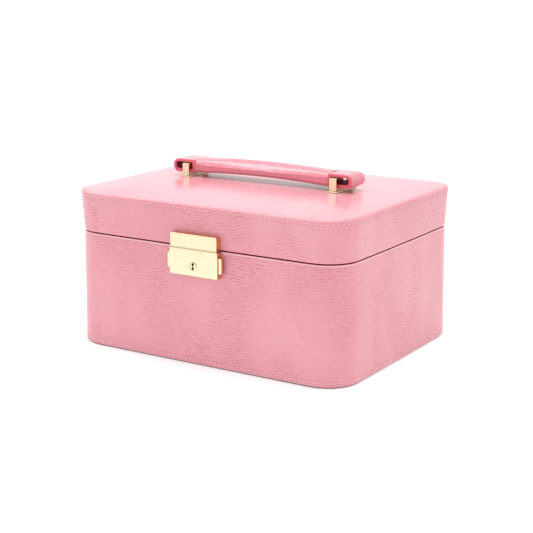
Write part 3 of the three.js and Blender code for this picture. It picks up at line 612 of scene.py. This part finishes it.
def stitch_row(name, face, height):
    """A row of stitches round the box at one height. face is how far out the wall is there."""
    points, normals = outline(face - STITCH_INSET, corner_steps=40, side_steps=(160, 120))
    distance = lengths(points, closed=True)
    total = distance[-1]
    count = int(round(total / STITCH_PITCH))
    closed_points = np.vstack([points, points[:1]])
    closed_normals = np.vstack([normals, normals[:1]])

    def place(at):
        at = at % total
        spot = [np.interp(at, distance, closed_points[:, k]) for k in (0, 1)]
        out = np.array([np.interp(at, distance, closed_normals[:, k]) for k in (0, 1)])
        return np.array(spot), out / np.linalg.norm(out)

    vertices, faces = [], []
    sides, steps = 8, 8
    for k in range(count):
        middle = (k + 0.5) * total / count
        start = len(vertices)
        for step in range(steps + 1):
            share = step / steps
            spot, out = place(middle + (share - 0.5) * STITCH)
            rise = math.sin(math.pi * share)
            radius = THREAD_RADIUS * blended(THREAD_END, 1.0, rise**0.5)
            middle_out = (rise - STITCH_SUNK) * STITCH_BOW
            level = height + STITCH_SLANT * (share - 0.5)
            for side in range(sides):
                angle = 2 * math.pi * side / sides
                x, y = spot + out * (middle_out + radius * math.cos(angle))
                vertices.append((x, y, level + radius * math.sin(angle)))
        for step in range(steps):
            for side in range(sides):
                a = start + step * sides + side
                b = start + step * sides + (side + 1) % sides
                faces.append((a, b, b + sides, a + sides))
        faces.append(tuple(start + side for side in reversed(range(sides))))
        faces.append(tuple(start + steps * sides + side for side in range(sides)))
    mesh = bpy.data.meshes.new(name)
    mesh.from_pydata(vertices, [], faces)
    mesh.validate()
    return link(name, mesh, THREAD)


# ------------------------------------------------------------------ leather skins


def base_face(height):
    return BASE_SPREAD * (1 - height / SEAM)


def lid_face(height):
    return LID_FLARE * (height - SEAM) / (LID_EDGE - SEAM)


BASE_STITCH = BASE_FOOT + 3.2 * MM  # heights of the two rows of stitching
LID_STITCH = LID_EDGE - 3.3 * MM
GROOVE_DEPTH, GROOVE_WIDTH = 0.45 * MM, 0.9 * MM  # the stitching pulls the leather in
TURN_IN = 11 * MM  # how far the base's leather is turned in under its foot


def walls(face, low, high, steps, stitch):
    """The outer face from low to high, pressed in along its stitching."""
    close = [stitch + k * 0.35 * MM for k in range(-5, 6)]  # fine enough to carry the groove
    points = []
    for z in sorted({*np.linspace(low, high, steps), *(z for z in close if low < z < high)}):
        groove = GROOVE_DEPTH * math.exp(-(((z - stitch) / GROOVE_WIDTH) ** 2))
        points.append((face(z) - groove, z))
    return points


def shade_rim(skin, plane, reach, level):
    """The leather's turned rim is painted dark where it faces the seam: painted shade for the seam's gap.
    """
    recolour(skin, SEAM_SHADE_LEATHER, lambda f: abs(f.center.z - plane) < reach and abs(f.normal.z) > level)


def base_skin():
    top = BASE_RIM - RIM_EASE
    rim = top - BASE_ROUNDING
    foot = base_face(0)
    section = [
        (-TURN_IN, BASE_FOOT),
        *arc((foot - FOOT_ROUNDING, BASE_FOOT + FOOT_ROUNDING), FOOT_ROUNDING, -90, -10, 5),
        *walls(base_face, BASE_FOOT + FOOT_ROUNDING * 1.05, rim - 0.2 * MM, 22, BASE_STITCH),
        *arc((-BASE_ROUNDING, rim), BASE_ROUNDING, 0, 90, 8),
        *between((-BASE_ROUNDING - 0.4 * MM, top), (RIM_INSIDE + 0.3 * MM, top), 3),
        (RIM_INSIDE, top - 0.3 * MM),
        (RIM_INSIDE, top - LEATHER),
        (-BASE_ROUNDING, top - LEATHER),
        (-LEATHER, rim),
        (foot - LEATHER, BASE_FOOT + LEATHER),
        (-TURN_IN, BASE_FOOT + LEATHER),
    ]
    skin = around_box("base_leather_skin", section, LEATHER_LOOK)
    shade_rim(skin, top, BASE_SHADED, 0.9)
    # painted highlight on the upward-facing part of the rim's rounding
    recolour(skin, RIM_HIGHLIGHT_LEATHER, lambda f: f.center.z > rim and 0.35 < f.normal.z < 0.9)
    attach(skin, "case")
    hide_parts("base_leather")
    row = stitch_row("base_stitching", base_face(BASE_STITCH), BASE_STITCH)
    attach(row, "case")


def lid_band():
    """The lid's side. It returns how far out the inside of its top edge is."""
    foot = LID_RIM + RIM_EASE
    rim = foot + LID_ROUNDING
    end = LID_EDGE - EDGE_ROUNDING
    centre = (LID_FLARE - EDGE_ROUNDING, end)
    tuck = centre[0] - 0.6 * MM
    section = [
        (RIM_INSIDE, foot + 0.3 * MM),
        *between((RIM_INSIDE + 0.3 * MM, foot), (-LID_ROUNDING, foot), 3),
        *arc((-LID_ROUNDING, rim), LID_ROUNDING, -90, 0, 6),
        *walls(lid_face, rim + 0.2 * MM, end - 0.1 * MM, 14, LID_STITCH),
        *arc(centre, EDGE_ROUNDING, 0, 90, 7),
        (tuck, LID_EDGE - 0.35 * MM),
        (tuck, LID_EDGE - LEATHER),
        (lid_face(end) - LEATHER, end - 0.4 * MM),
        (-LEATHER, foot + LEATHER),
        (RIM_INSIDE, foot + LEATHER),
    ]
    band = around_box("lid_leather_band", section, LEATHER_LOOK)
    shade_rim(band, foot, LID_SHADED, 0.45)
    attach(band, "lid")
    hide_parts("lid_side_leather")
    row = stitch_row("lid_stitching", lid_face(LID_STITCH), LID_STITCH)
    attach(row, "lid")
    return tuck


# rings of the top panel, as shares of its outline
TOP_RINGS = (
    *(1.0, 0.995, 0.985, 0.97, 0.95, 0.92, 0.88, 0.83),
    *(0.77, 0.7, 0.62, 0.53, 0.43, 0.32, 0.2, 0.08),
)
TOP_PROUD = 0.25 * MM  # the panel stands this far above the band's edge
TOP_ROLL, TOP_ROLL_WIDTH = 0.5 * MM, 0.006  # it is turned down by this, over this share of its outline


def top_height(scale):
    roll = TOP_ROLL * math.exp(-(1 - scale) / TOP_ROLL_WIDTH)
    return LID_EDGE + TOP_PROUD + CROWN * (1 - scale**4) - roll


def lid_top(tuck):
    """The padded top panel, crowned over its foam and turned down inside the band's edge."""
    edge, _ = outline(tuck - 0.05 * MM)
    outside = [(scale, top_height(scale)) for scale in TOP_RINGS]
    inside = [(scale, height - LEATHER) for scale, height in reversed(outside)]
    rings = []
    for scale, height in inside + outside:
        rings.append(np.column_stack([edge * scale, np.full(len(edge), height)]))
    along, across = np.zeros(len(edge) + 1), np.zeros(len(rings))
    mesh = grid_mesh("lid_top_skin", rings, along, across, closed=False)
    layer = mesh.uv_layers["print"].data
    for loop in mesh.loops:
        point = mesh.vertices[loop.vertex_index].co
        layer[loop.index].uv = (point.x, point.y)
    top = link("lid_top_skin", mesh, TOP_LOOK)
    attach(top, "lid")
    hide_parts("lid_top_leather")


# ------------------------------------------------------------------ strap handle

GRIP_END = loop_low.x - 0.1 * MM
LINING_FOOT = grip_low.z  # of the taupe strip under the padded grip, at the strap's middle
LINING_SAG = LINING_FOOT - end_low.z  # how far its ends hang below its middle
GRIP_FOOT = LINING_FOOT + 1.2 * MM
GRIP_TOP = grip_high.z
GRIP_TOP_SAG = 2.7 * MM  # how much lower its top is at its ends
GRIP_CORNER = ((0.5 * MM, 0.0), (0.05 * MM, 0.5 * MM), (0.0, 1.2 * MM))  # its lower corner: (in, up)
# each of these goes from the grip's middle to where it meets the loop
GRIP_MARGIN = (0.1 * MM, 0.3 * MM)  # from the CAD grip's side
GRIP_SHOULDER = (3.7 * MM, 6.6 * MM)  # height of its sides, under the crown
GRIP_FULLNESS = (1.7, 5.0)  # power of the crown's curve: a higher one is flatter
GRIP_WRINKLE = 0.14 * MM


def grip_section(share):
    """The grip's section in (y, z) at share 0, its middle, to 1, where it meets the loop."""
    ease = share**2.5
    half = (grip_high.y - grip_low.y) / 2 - blended(*GRIP_MARGIN, ease)
    foot = GRIP_FOOT - LINING_SAG * share**2
    top = GRIP_TOP - GRIP_TOP_SAG * share**2
    shoulder = foot + blended(*GRIP_SHOULDER, ease)
    fullness = blended(*GRIP_FULLNESS, ease)
    right = [(half - inward, foot + up) for inward, up in GRIP_CORNER]
    right.append((half, shoulder - 0.5 * MM))
    left = [(-y, z) for y, z in reversed(right)]
    crown = []
    for angle in np.linspace(0, math.pi, 25):
        across = math.cos(angle)
        crown.append((half * across, shoulder + (top - shoulder) * (1 - abs(across) ** fullness)))
    return np.array(left[-1:] + right + crown + left[:-1])


def strap_grip(side):
    sign = 1 if side == "right" else -1
    rings = []
    for share in np.linspace(0, 1, 61):
        x = sign * share * GRIP_END
        ring = []
        for y, z in grip_section(share):
            wrinkle = GRIP_WRINKLE * noise.noise(Vector((x * 160, y * 520, z * 300)))
            ring.append((x, y, z + wrinkle))
        rings.append(ring)
    if sign < 0:
        rings = rings[::-1]
    along = lengths(grip_section(0), closed=True)
    across = [ring[0][0] for ring in rings]
    mesh = grid_mesh(f"strap_grip_{side}", rings, along, across, closed=False)
    grip = link(f"strap_grip_{side}", mesh, STRAP_LOOK)
    # painted shade on the grip's ends, at its joint with the loop
    shaded_from = GRIP_END - 0.1 * MM
    recolour(grip, JOINT_SHADE_LEATHER, lambda f: abs(f.normal.x) > 0.9 and abs(f.center.x) > shaded_from)
    grip.data.set_sharp_from_angle(angle=math.radians(60))
    return grip


def racetrack(centre, length, height, inner_radius, outer_radius, steps=8):
    """A rectangle in (x, z), anticlockwise, rounded by one radius at its inner end and one at its outer."""
    cx, cz = centre
    points = []
    for sx, sz, start in ((-1, -1, 180), (1, -1, 270), (1, 1, 0), (-1, 1, 90)):
        radius = inner_radius if sx < 0 else outer_radius
        corner = (cx + sx * (length / 2 - radius), cz + sz * (height / 2 - radius))
        points += arc(corner, radius, start, start + 90, steps)
    return np.array(points)


# the loop's slot, the leather at its inner end, and how far it lies above the loop's middle
SLOT_LENGTH, SLOT_HEIGHT, SLOT_WALL, SLOT_RISE = 16.9 * MM, 5.6 * MM, 2.3 * MM, 0.3 * MM
SLOT_EDGE = 0.6  # how rounded the slot's edges are, as a share of the loop's outer edges


def strap_loop(side):
    """The folded end of the strap, with the slot that the bracket's bar slides in."""
    sign = 1 if side == "right" else -1
    middle_z = (loop_low.z + loop_high.z) / 2
    length, height = loop_high.x - loop_low.x, loop_high.z - loop_low.z
    middle_x = (loop_low.x + loop_high.x) / 2
    slot_x = loop_low.x + SLOT_WALL + SLOT_LENGTH / 2
    slot_z = middle_z + SLOT_RISE
    outer = racetrack((middle_x, middle_z), length, height, inner_radius=0.8 * MM, outer_radius=5.6 * MM)
    inner = racetrack(
        (slot_x, slot_z), SLOT_LENGTH, SLOT_HEIGHT, inner_radius=0.8 * MM, outer_radius=2.7 * MM
    )
    half = loop_high.y
    round_edge = 0.9 * MM
    turned = []
    for angle in np.linspace(0, math.pi / 2, 5):
        inset = round_edge * (1 - math.sin(angle))
        turned.append((inset, -half + round_edge * (1 - math.cos(angle))))
    flat = [(0.0, y) for y in np.linspace(-half + 2.5 * MM, half - 2.5 * MM, 9)]
    profile = turned + flat + [(inset, -y) for inset, y in reversed(turned)]
    towards = inner - outer
    towards = towards / np.linalg.norm(towards, axis=1)[:, None]
    rings = []
    for inset, y in profile:
        ring = outer + towards * inset
        rings.append([(sign * x, y, z) for x, z in ring])
    for inset, y in profile[::-1]:
        ring = inner - towards * inset * SLOT_EDGE
        rings.append([(sign * x, y, z) for x, z in ring])
    along = lengths(outer, closed=True)
    across = np.concatenate([[y for _, y in profile], [y for _, y in profile[::-1]], [profile[0][1]]])
    if sign > 0:
        rings = rings[::-1]
        across = across[::-1]
    mesh = grid_mesh(f"strap_loop_{side}", rings, along, across, closed=True)
    for entry in mesh.uv_layers["print"].data:
        entry.uv = (entry.uv[1], entry.uv[0])
    loop = link(f"strap_loop_{side}", mesh, STRAP_LOOK)
    slot_reach = height / 2 - 0.9 * (height - SLOT_HEIGHT) / 2

    def in_slot(face):
        x, _, z = face.center
        beside = abs(abs(x) - slot_x) < SLOT_LENGTH / 2 + 0.2 * MM
        return beside and abs(z - middle_z) < slot_reach

    # painted shade inside the slot
    recolour(loop, SLOT_SHADE_LEATHER, in_slot)
    recolour(loop, PAINTED_EDGE, lambda face: abs(face.normal.y) > 0.7 and not in_slot(face))
    return loop


def strap_lining(side):
    """The taupe strip sewn under the grip, which lies straighter than the padded strap above it. Its colour
    is also painted shade for the band under the strap.
    """
    sign = 1 if side == "right" else -1
    half, round_edge = 10.9 * MM, 0.4 * MM
    end = GRIP_END - 0.4 * MM
    rings = []
    for share in np.linspace(0, 1, 41):
        foot = LINING_FOOT - LINING_SAG * share**2
        top = GRIP_FOOT - LINING_SAG * share**2 - 0.05 * MM
        section = []
        for y, z, start in ((half, foot, -90), (half, top, 0), (-half, top, 90), (-half, foot, 180)):
            inward = math.copysign(round_edge, y)
            upward = round_edge if z == foot else -round_edge
            section += arc((y - inward, z + upward), round_edge, start, start + 90, 3)
        rings.append([(sign * end * share, y, z) for y, z in section])
    if sign < 0:
        rings = rings[::-1]
    along = lengths(section, closed=True)
    xs = [ring[0][0] for ring in rings]
    mesh = grid_mesh(f"strap_lining_{side}", rings, along, xs, closed=False)
    return link(f"strap_lining_{side}", mesh, TAUPE_LINING_SHADE)


def strap():
    for side, sign in (("left", -1), ("right", 1)):
        body = f"handle_end_{side}"
        grip = strap_grip(side)
        lining = strap_lining(side)
        for piece in (grip, lining):
            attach(piece, body)
            piece.parent = None
            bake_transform(piece)
        loop = strap_loop(side)
        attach(loop, body)
        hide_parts(f"handle_grip_{side}")
        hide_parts(f"handle_loop_{side}")
        if side == "right":
            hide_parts("handle_grip_middle")


# ------------------------------------------------------------------ metal and inside


def gilt(node, face, bevel, segments=3, pale_top=False):
    """Softened metal with a pale front, and a deeper, polished gold round its edges, coloured orange as a
    painted reflection of the pink leather.
    """
    piece = softened(node, face, bevel, segments)
    recolour(piece, EDGE_GOLD_REFLECTION, lambda f: abs(f.normal.y) < 0.6 and not (pale_top and f.normal.z > 0.3))


def catch_lip():
    """The catch's stepped foot, which closes the joint between the catch and the case."""
    low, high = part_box("catch_block")
    case_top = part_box("lock_case")[1].z
    inset, step = 0.5 * MM, 0.75 * MM
    shape = bmesh.new()
    bmesh.ops.create_cube(shape, size=1.0)
    size = Vector((high.x - low.x - 2 * inset, high.y - low.y - step - inset, low.z - case_top + inset))
    middle = Vector((0, (low.y + step + high.y - inset) / 2, case_top + 0.05 * MM + size.z / 2))
    for vertex in shape.verts:
        vertex.co = Vector(a * b for a, b in zip(vertex.co, size)) + middle
    bmesh.ops.bevel(shape, geom=shape.edges, offset=0.08 * MM, segments=2, affect="EDGES")
    mesh = bpy.data.meshes.new("catch_lip")
    shape.to_mesh(mesh)
    shape.free()
    lip = link("catch_lip", mesh, BRUSHED_GOLD, False)
    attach(lip, "lid")


KEY_DROP = 13.8 * MM  # of the key barrel's axis under the seam
KEY_RADIUS = 3.4 * MM
# the ring's section round the barrel: millimetres outward from it, and back from the lock's face
KEY_SEAT = ((0.03, 0.2), (0.03, 1.4), (0.45, 1.4), (0.45, 0.25), (0.4, 0.2))


def key_seat():
    """A ring in the lock's face, close round the key barrel."""
    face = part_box("lock_case")[0].y
    axis = SEAM - KEY_DROP
    steps = 48
    rings = []
    for step in range(steps):
        angle = 2 * math.pi * step / steps
        ring = []
        for outward, back in KEY_SEAT:
            radius = KEY_RADIUS + outward * MM
            ring.append((radius * math.cos(angle), face + back * MM, axis + radius * math.sin(angle)))
        rings.append(ring)
    along, across = np.zeros(len(KEY_SEAT) + 1), np.zeros(steps + 1)
    mesh = grid_mesh("key_seat", rings, along, across, closed=True)
    seat = link("key_seat", mesh, BRUSHED_GOLD, False)
    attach(seat, "case")


def spring(side):
    """The spring behind a button: a steel copy of the CAD spring, on the same body."""
    node = f"lock_spring_{side}"
    source = frame["nodes"][node]
    mesh = source.data.copy()
    mesh.materials.clear()
    coil = link(f"{node}_coil", mesh, STEEL)
    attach(coil, source["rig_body"])
    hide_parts(node)
    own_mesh(coil)


def metalwork():
    for node in ("lock_case", "catch_block"):
        gilt(node, BRUSHED_GOLD, 0.45 * MM, 4)
    catch_lip()
    key_seat()
    for node in ("lock_button_left", "lock_button_right"):
        gilt(node, BRUSHED_GOLD, 0.4 * MM)
    for side in ("left", "right"):
        gilt(f"handle_bracket_{side}", SATIN_GOLD, 0.7 * MM, 4, pale_top=True)
        softened(f"handle_plate_{side}", SATIN_GOLD, 0.3 * MM)
        softened(f"hinge_base_leaf_{side}", GOLD, 0.25 * MM)
        softened(f"hinge_lid_leaf_{side}", GOLD, 0.25 * MM)
        paint(f"hinge_pin_{side}", GOLD)
        spring(side)
        paint(f"handle_backing_{side}", STEEL)
        for part in ("base", "lid"):
            for end in ("outer", "inner"):
                paint(f"hinge_screw_{part}_{side}_{end}", GOLD)
    barrel = softened("key_barrel", BRUSHED_GOLD, 0.12 * MM, 2)
    # painted shade inside the keyway
    keyway_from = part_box("key_barrel")[0].y + 0.35 * MM
    recolour(barrel, KEYWAY_SHADE_BRASS, lambda f: f.center.y > keyway_from)
    paint("lock_back_plate", STEEL)
    paint("catch_tongue", STEEL)
    softened("mirror_frame", GOLD, 0.6 * MM)


ROLL_PAD = 1.1 * MM  # the fabric starts this far inside the roll's outline
ROLL_SWELL = 1.5 * MM  # and may move this far
ROLL_ENDS = 5 * MM  # length of a roll's rounded ends
ROLL_END_SHRINK = 0.3  # how much they draw in
ROLL_CREASE, ROLL_PUCKER = 0.55 * MM, 0.12 * MM  # depth of the broad creases and of the fine ones
ROLLS = 6


def roll_core(low, high):
    """The roll's foam: a half-round loaf with rounded ends, a little smaller than the finished roll."""
    half = (high.y - low.y) / 2 - ROLL_PAD
    top = high.z - ROLL_PAD
    shoulder = top - half * 0.85  # its round top starts here
    length = high.x - low.x - 2 * ROLL_PAD
    first_end = np.linspace(0, ROLL_ENDS, 5)
    last_end = np.linspace(length - ROLL_ENDS, length, 5)
    body = np.linspace(ROLL_ENDS, length - ROLL_ENDS, 30)[1:-1]
    rings = []
    for x in (*first_end, *body, *last_end):
        from_end = min(x, length - x, ROLL_ENDS)
        shrink = 1 - (1 - math.sqrt(max(0.0, 1 - (1 - from_end / ROLL_ENDS) ** 2))) * ROLL_END_SHRINK
        ring = [(-half * shrink, low.z), (0.0, low.z), (half * shrink, low.z)]
        for angle in np.linspace(0, math.pi, 15):
            z = shoulder + (top - shoulder) * math.sin(angle)
            ring.append((half * shrink * math.cos(angle), low.z + (z - low.z) * shrink))
        rings.append([(low.x + ROLL_PAD + x, (low.y + high.y) / 2 + y, z) for y, z in ring])
    along, across = np.zeros(len(rings[0]) + 1), np.zeros(len(rings))
    return grid_mesh("roll_core", rings, along, across, closed=False)


def swollen(core, voxel, pinned_below, cap):
    """The core's cover after it is blown up like stuffed fabric, as a mesh."""
    scene = bpy.context.scene
    cover = link("roll_cover", core, VELVET)
    bpy.context.view_layer.objects.active = cover
    remesh = cover.modifiers.new("remesh", "REMESH")
    remesh.mode = "VOXEL"
    remesh.voxel_size = voxel
    bpy.ops.object.modifier_apply(modifier=remesh.name)
    start = np.array([v.co for v in cover.data.vertices])
    pins = cover.vertex_groups.new(name="pins")
    pins.add([v.index for v in cover.data.vertices if v.co.z < pinned_below], 1.0, "REPLACE")
    cloth = cover.modifiers.new("cloth", "CLOTH")
    cloth.settings.quality = 6
    cloth.settings.vertex_group_mass = pins.name
    cloth.settings.use_pressure = True
    cloth.settings.uniform_pressure_force = 4.0
    cloth.settings.effector_weights.gravity = 0.0
    for step in range(1, 21):
        scene.frame_set(step)
    ready = cover.evaluated_get(bpy.context.evaluated_depsgraph_get())
    end = np.array([v.co for v in ready.data.vertices])
    cover.modifiers.remove(cloth)
    scene.frame_set(1)
    moved = end - start
    far = np.linalg.norm(moved, axis=1, keepdims=True)
    end = start + moved * np.minimum(1.0, cap / np.maximum(far, 1e-9))
    cover.data.vertices.foreach_set("co", end.ravel())
    finer = cover.modifiers.new("finer", "SUBSURF")
    finer.levels = 1
    bpy.ops.object.modifier_apply(modifier=finer.name)
    mesh = cover.data
    bpy.data.objects.remove(cover)
    return mesh


def ring_rolls():
    """Velvet over foam: one roll is blown up, and its copies are creased a little differently."""
    low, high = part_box("ring_roll_1")
    core = roll_core(low, high)
    cover = swollen(core, voxel=2.6 * MM, pinned_below=low.z + 3 * MM, cap=ROLL_SWELL)
    first = np.array([v.co for v in cover.vertices])
    for number in range(1, ROLLS + 1):
        node = f"ring_roll_{number}"
        node_low, node_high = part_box(node)
        points = first + np.array(node_low - low)
        mesh = cover.copy()
        mesh.name = f"{node}_velvet"
        creased = []
        # the two patterns are scaled per metre, and shifted by the roll's number
        for x, y, z in points:
            pull = noise.noise(Vector((x * 45 + 7 * number, y * 170, z * 90)))
            fine = noise.noise(Vector((x * 230, y * 330 + 3 * number, z * 330)))
            y = min(max(y, node_low.y), node_high.y)
            above_foot = min(1.0, (z - node_low.z) / (8 * MM))
            lift = (ROLL_CREASE * pull + ROLL_PUCKER * fine) * above_foot
            creased.append((x, y, max(node_low.z, z + lift)))
        mesh.vertices.foreach_set("co", np.array(creased).ravel())
        mesh.shade_smooth()
        roll = bpy.data.objects.new(f"{node}_velvet", mesh)
        bpy.context.scene.collection.objects.link(roll)
        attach(roll, "tray")
        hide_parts(node)


def inside():
    for node in ("base_lining", "lid_lining"):
        softened(node, SUEDE, 0.3 * MM, 2)
    for node in ("base_divider_long", "base_divider_short", "tray_shell"):
        softened(node, SUEDE, 0.8 * MM)
    for node in ("tray_divider_long", "tray_divider_cross"):
        softened(node, SUEDE, 0.9 * MM)
    for side in ("left", "right"):
        softened(f"tray_ledge_{side}", SUEDE, 0.8 * MM)
        softened(f"tray_tab_{side}", TAB_RIBBON, 0.2 * MM, 2)
    ring_rolls()
    for node in ("base_carcass", "lid_carcass"):
        paint(node, BOARD)
    paint("lid_pad", FOAM)
    paint("mirror", MIRROR)
    paint("bottom_pad", PAD_SUEDE_BOUNCE)


# ------------------------------------------------------------------ studio

WORLD_LIGHT = 0.99
FLOOR_REACH = 12.0

CAMERA_AZIMUTH, CAMERA_ELEVATION = math.radians(32.3), math.radians(13.6)
CAMERA_DISTANCE = 1.092
CAMERA_LENS, SENSOR_WIDTH = 85.8, 36.0  # in millimetres, as Blender has them
AIM = Vector((0.0, 0.0, 0.070))
AIM_UP, AIM_RIGHT = -0.0086, 0.0003  # from there, across the picture


def area_light(name, place, target, size, power):
    data = bpy.data.lights.new(name, "AREA")
    data.shape = "RECTANGLE"
    data.size, data.size_y = size
    data.energy = power
    light = bpy.data.objects.new(name, data)
    light.location = place
    light.rotation_euler = (Vector(target) - Vector(place)).to_track_quat("-Z", "Y").to_euler()
    bpy.context.scene.collection.objects.link(light)


def studio():
    scene = bpy.context.scene
    scene.view_settings.view_transform = "Standard"
    world = bpy.data.worlds.new("studio")
    world.use_nodes = True
    background = world.node_tree.nodes["Background"]
    background.inputs["Color"].default_value = (1.0, 1.0, 1.0, 1.0)
    background.inputs["Strength"].default_value = WORLD_LIGHT
    scene.world = world
    area_light(
        "overhead_softbox", place=(0.1, 0.1, 1.4), target=(0.0, 0.0, 0.07), size=(0.9, 0.8), power=9.6
    )
    # for the streak of gloss along the strap
    area_light(
        "glint_softbox", place=(-0.34, 0.0, 0.70), target=(0.025, 0.0, 0.15), size=(0.16, 0.62), power=1.6
    )
    floor_mesh = bpy.data.meshes.new("floor")
    corners = [(x * FLOOR_REACH, y * FLOOR_REACH, 0) for x, y in ((-1, -1), (1, -1), (1, 1), (-1, 1))]
    floor_mesh.from_pydata(corners, [], [(0, 1, 2, 3)])
    floor = link("floor", floor_mesh, studio_paper("studio_paper"))


def camera():
    right = Vector((math.cos(CAMERA_AZIMUTH), math.sin(CAMERA_AZIMUTH), 0.0))
    level = Vector((right.y, -right.x, 0.0))
    back = level * math.cos(CAMERA_ELEVATION)
    back.z = math.sin(CAMERA_ELEVATION)
    up = back.cross(right)
    data = bpy.data.cameras.new("camera")
    data.sensor_width = SENSOR_WIDTH
    data.lens = CAMERA_LENS
    made = bpy.data.objects.new("camera", data)
    made.location = AIM + up * AIM_UP + right * AIM_RIGHT + back * CAMERA_DISTANCE
    made.rotation_euler = back.to_track_quat("Z", "Y").to_euler()
    bpy.context.scene.collection.objects.link(made)
    bpy.context.scene.camera = made


# ------------------------------------------------------------------ assembly

base_skin()
lid_top(lid_band())
strap()
metalwork()
inside()
studio()
camera()
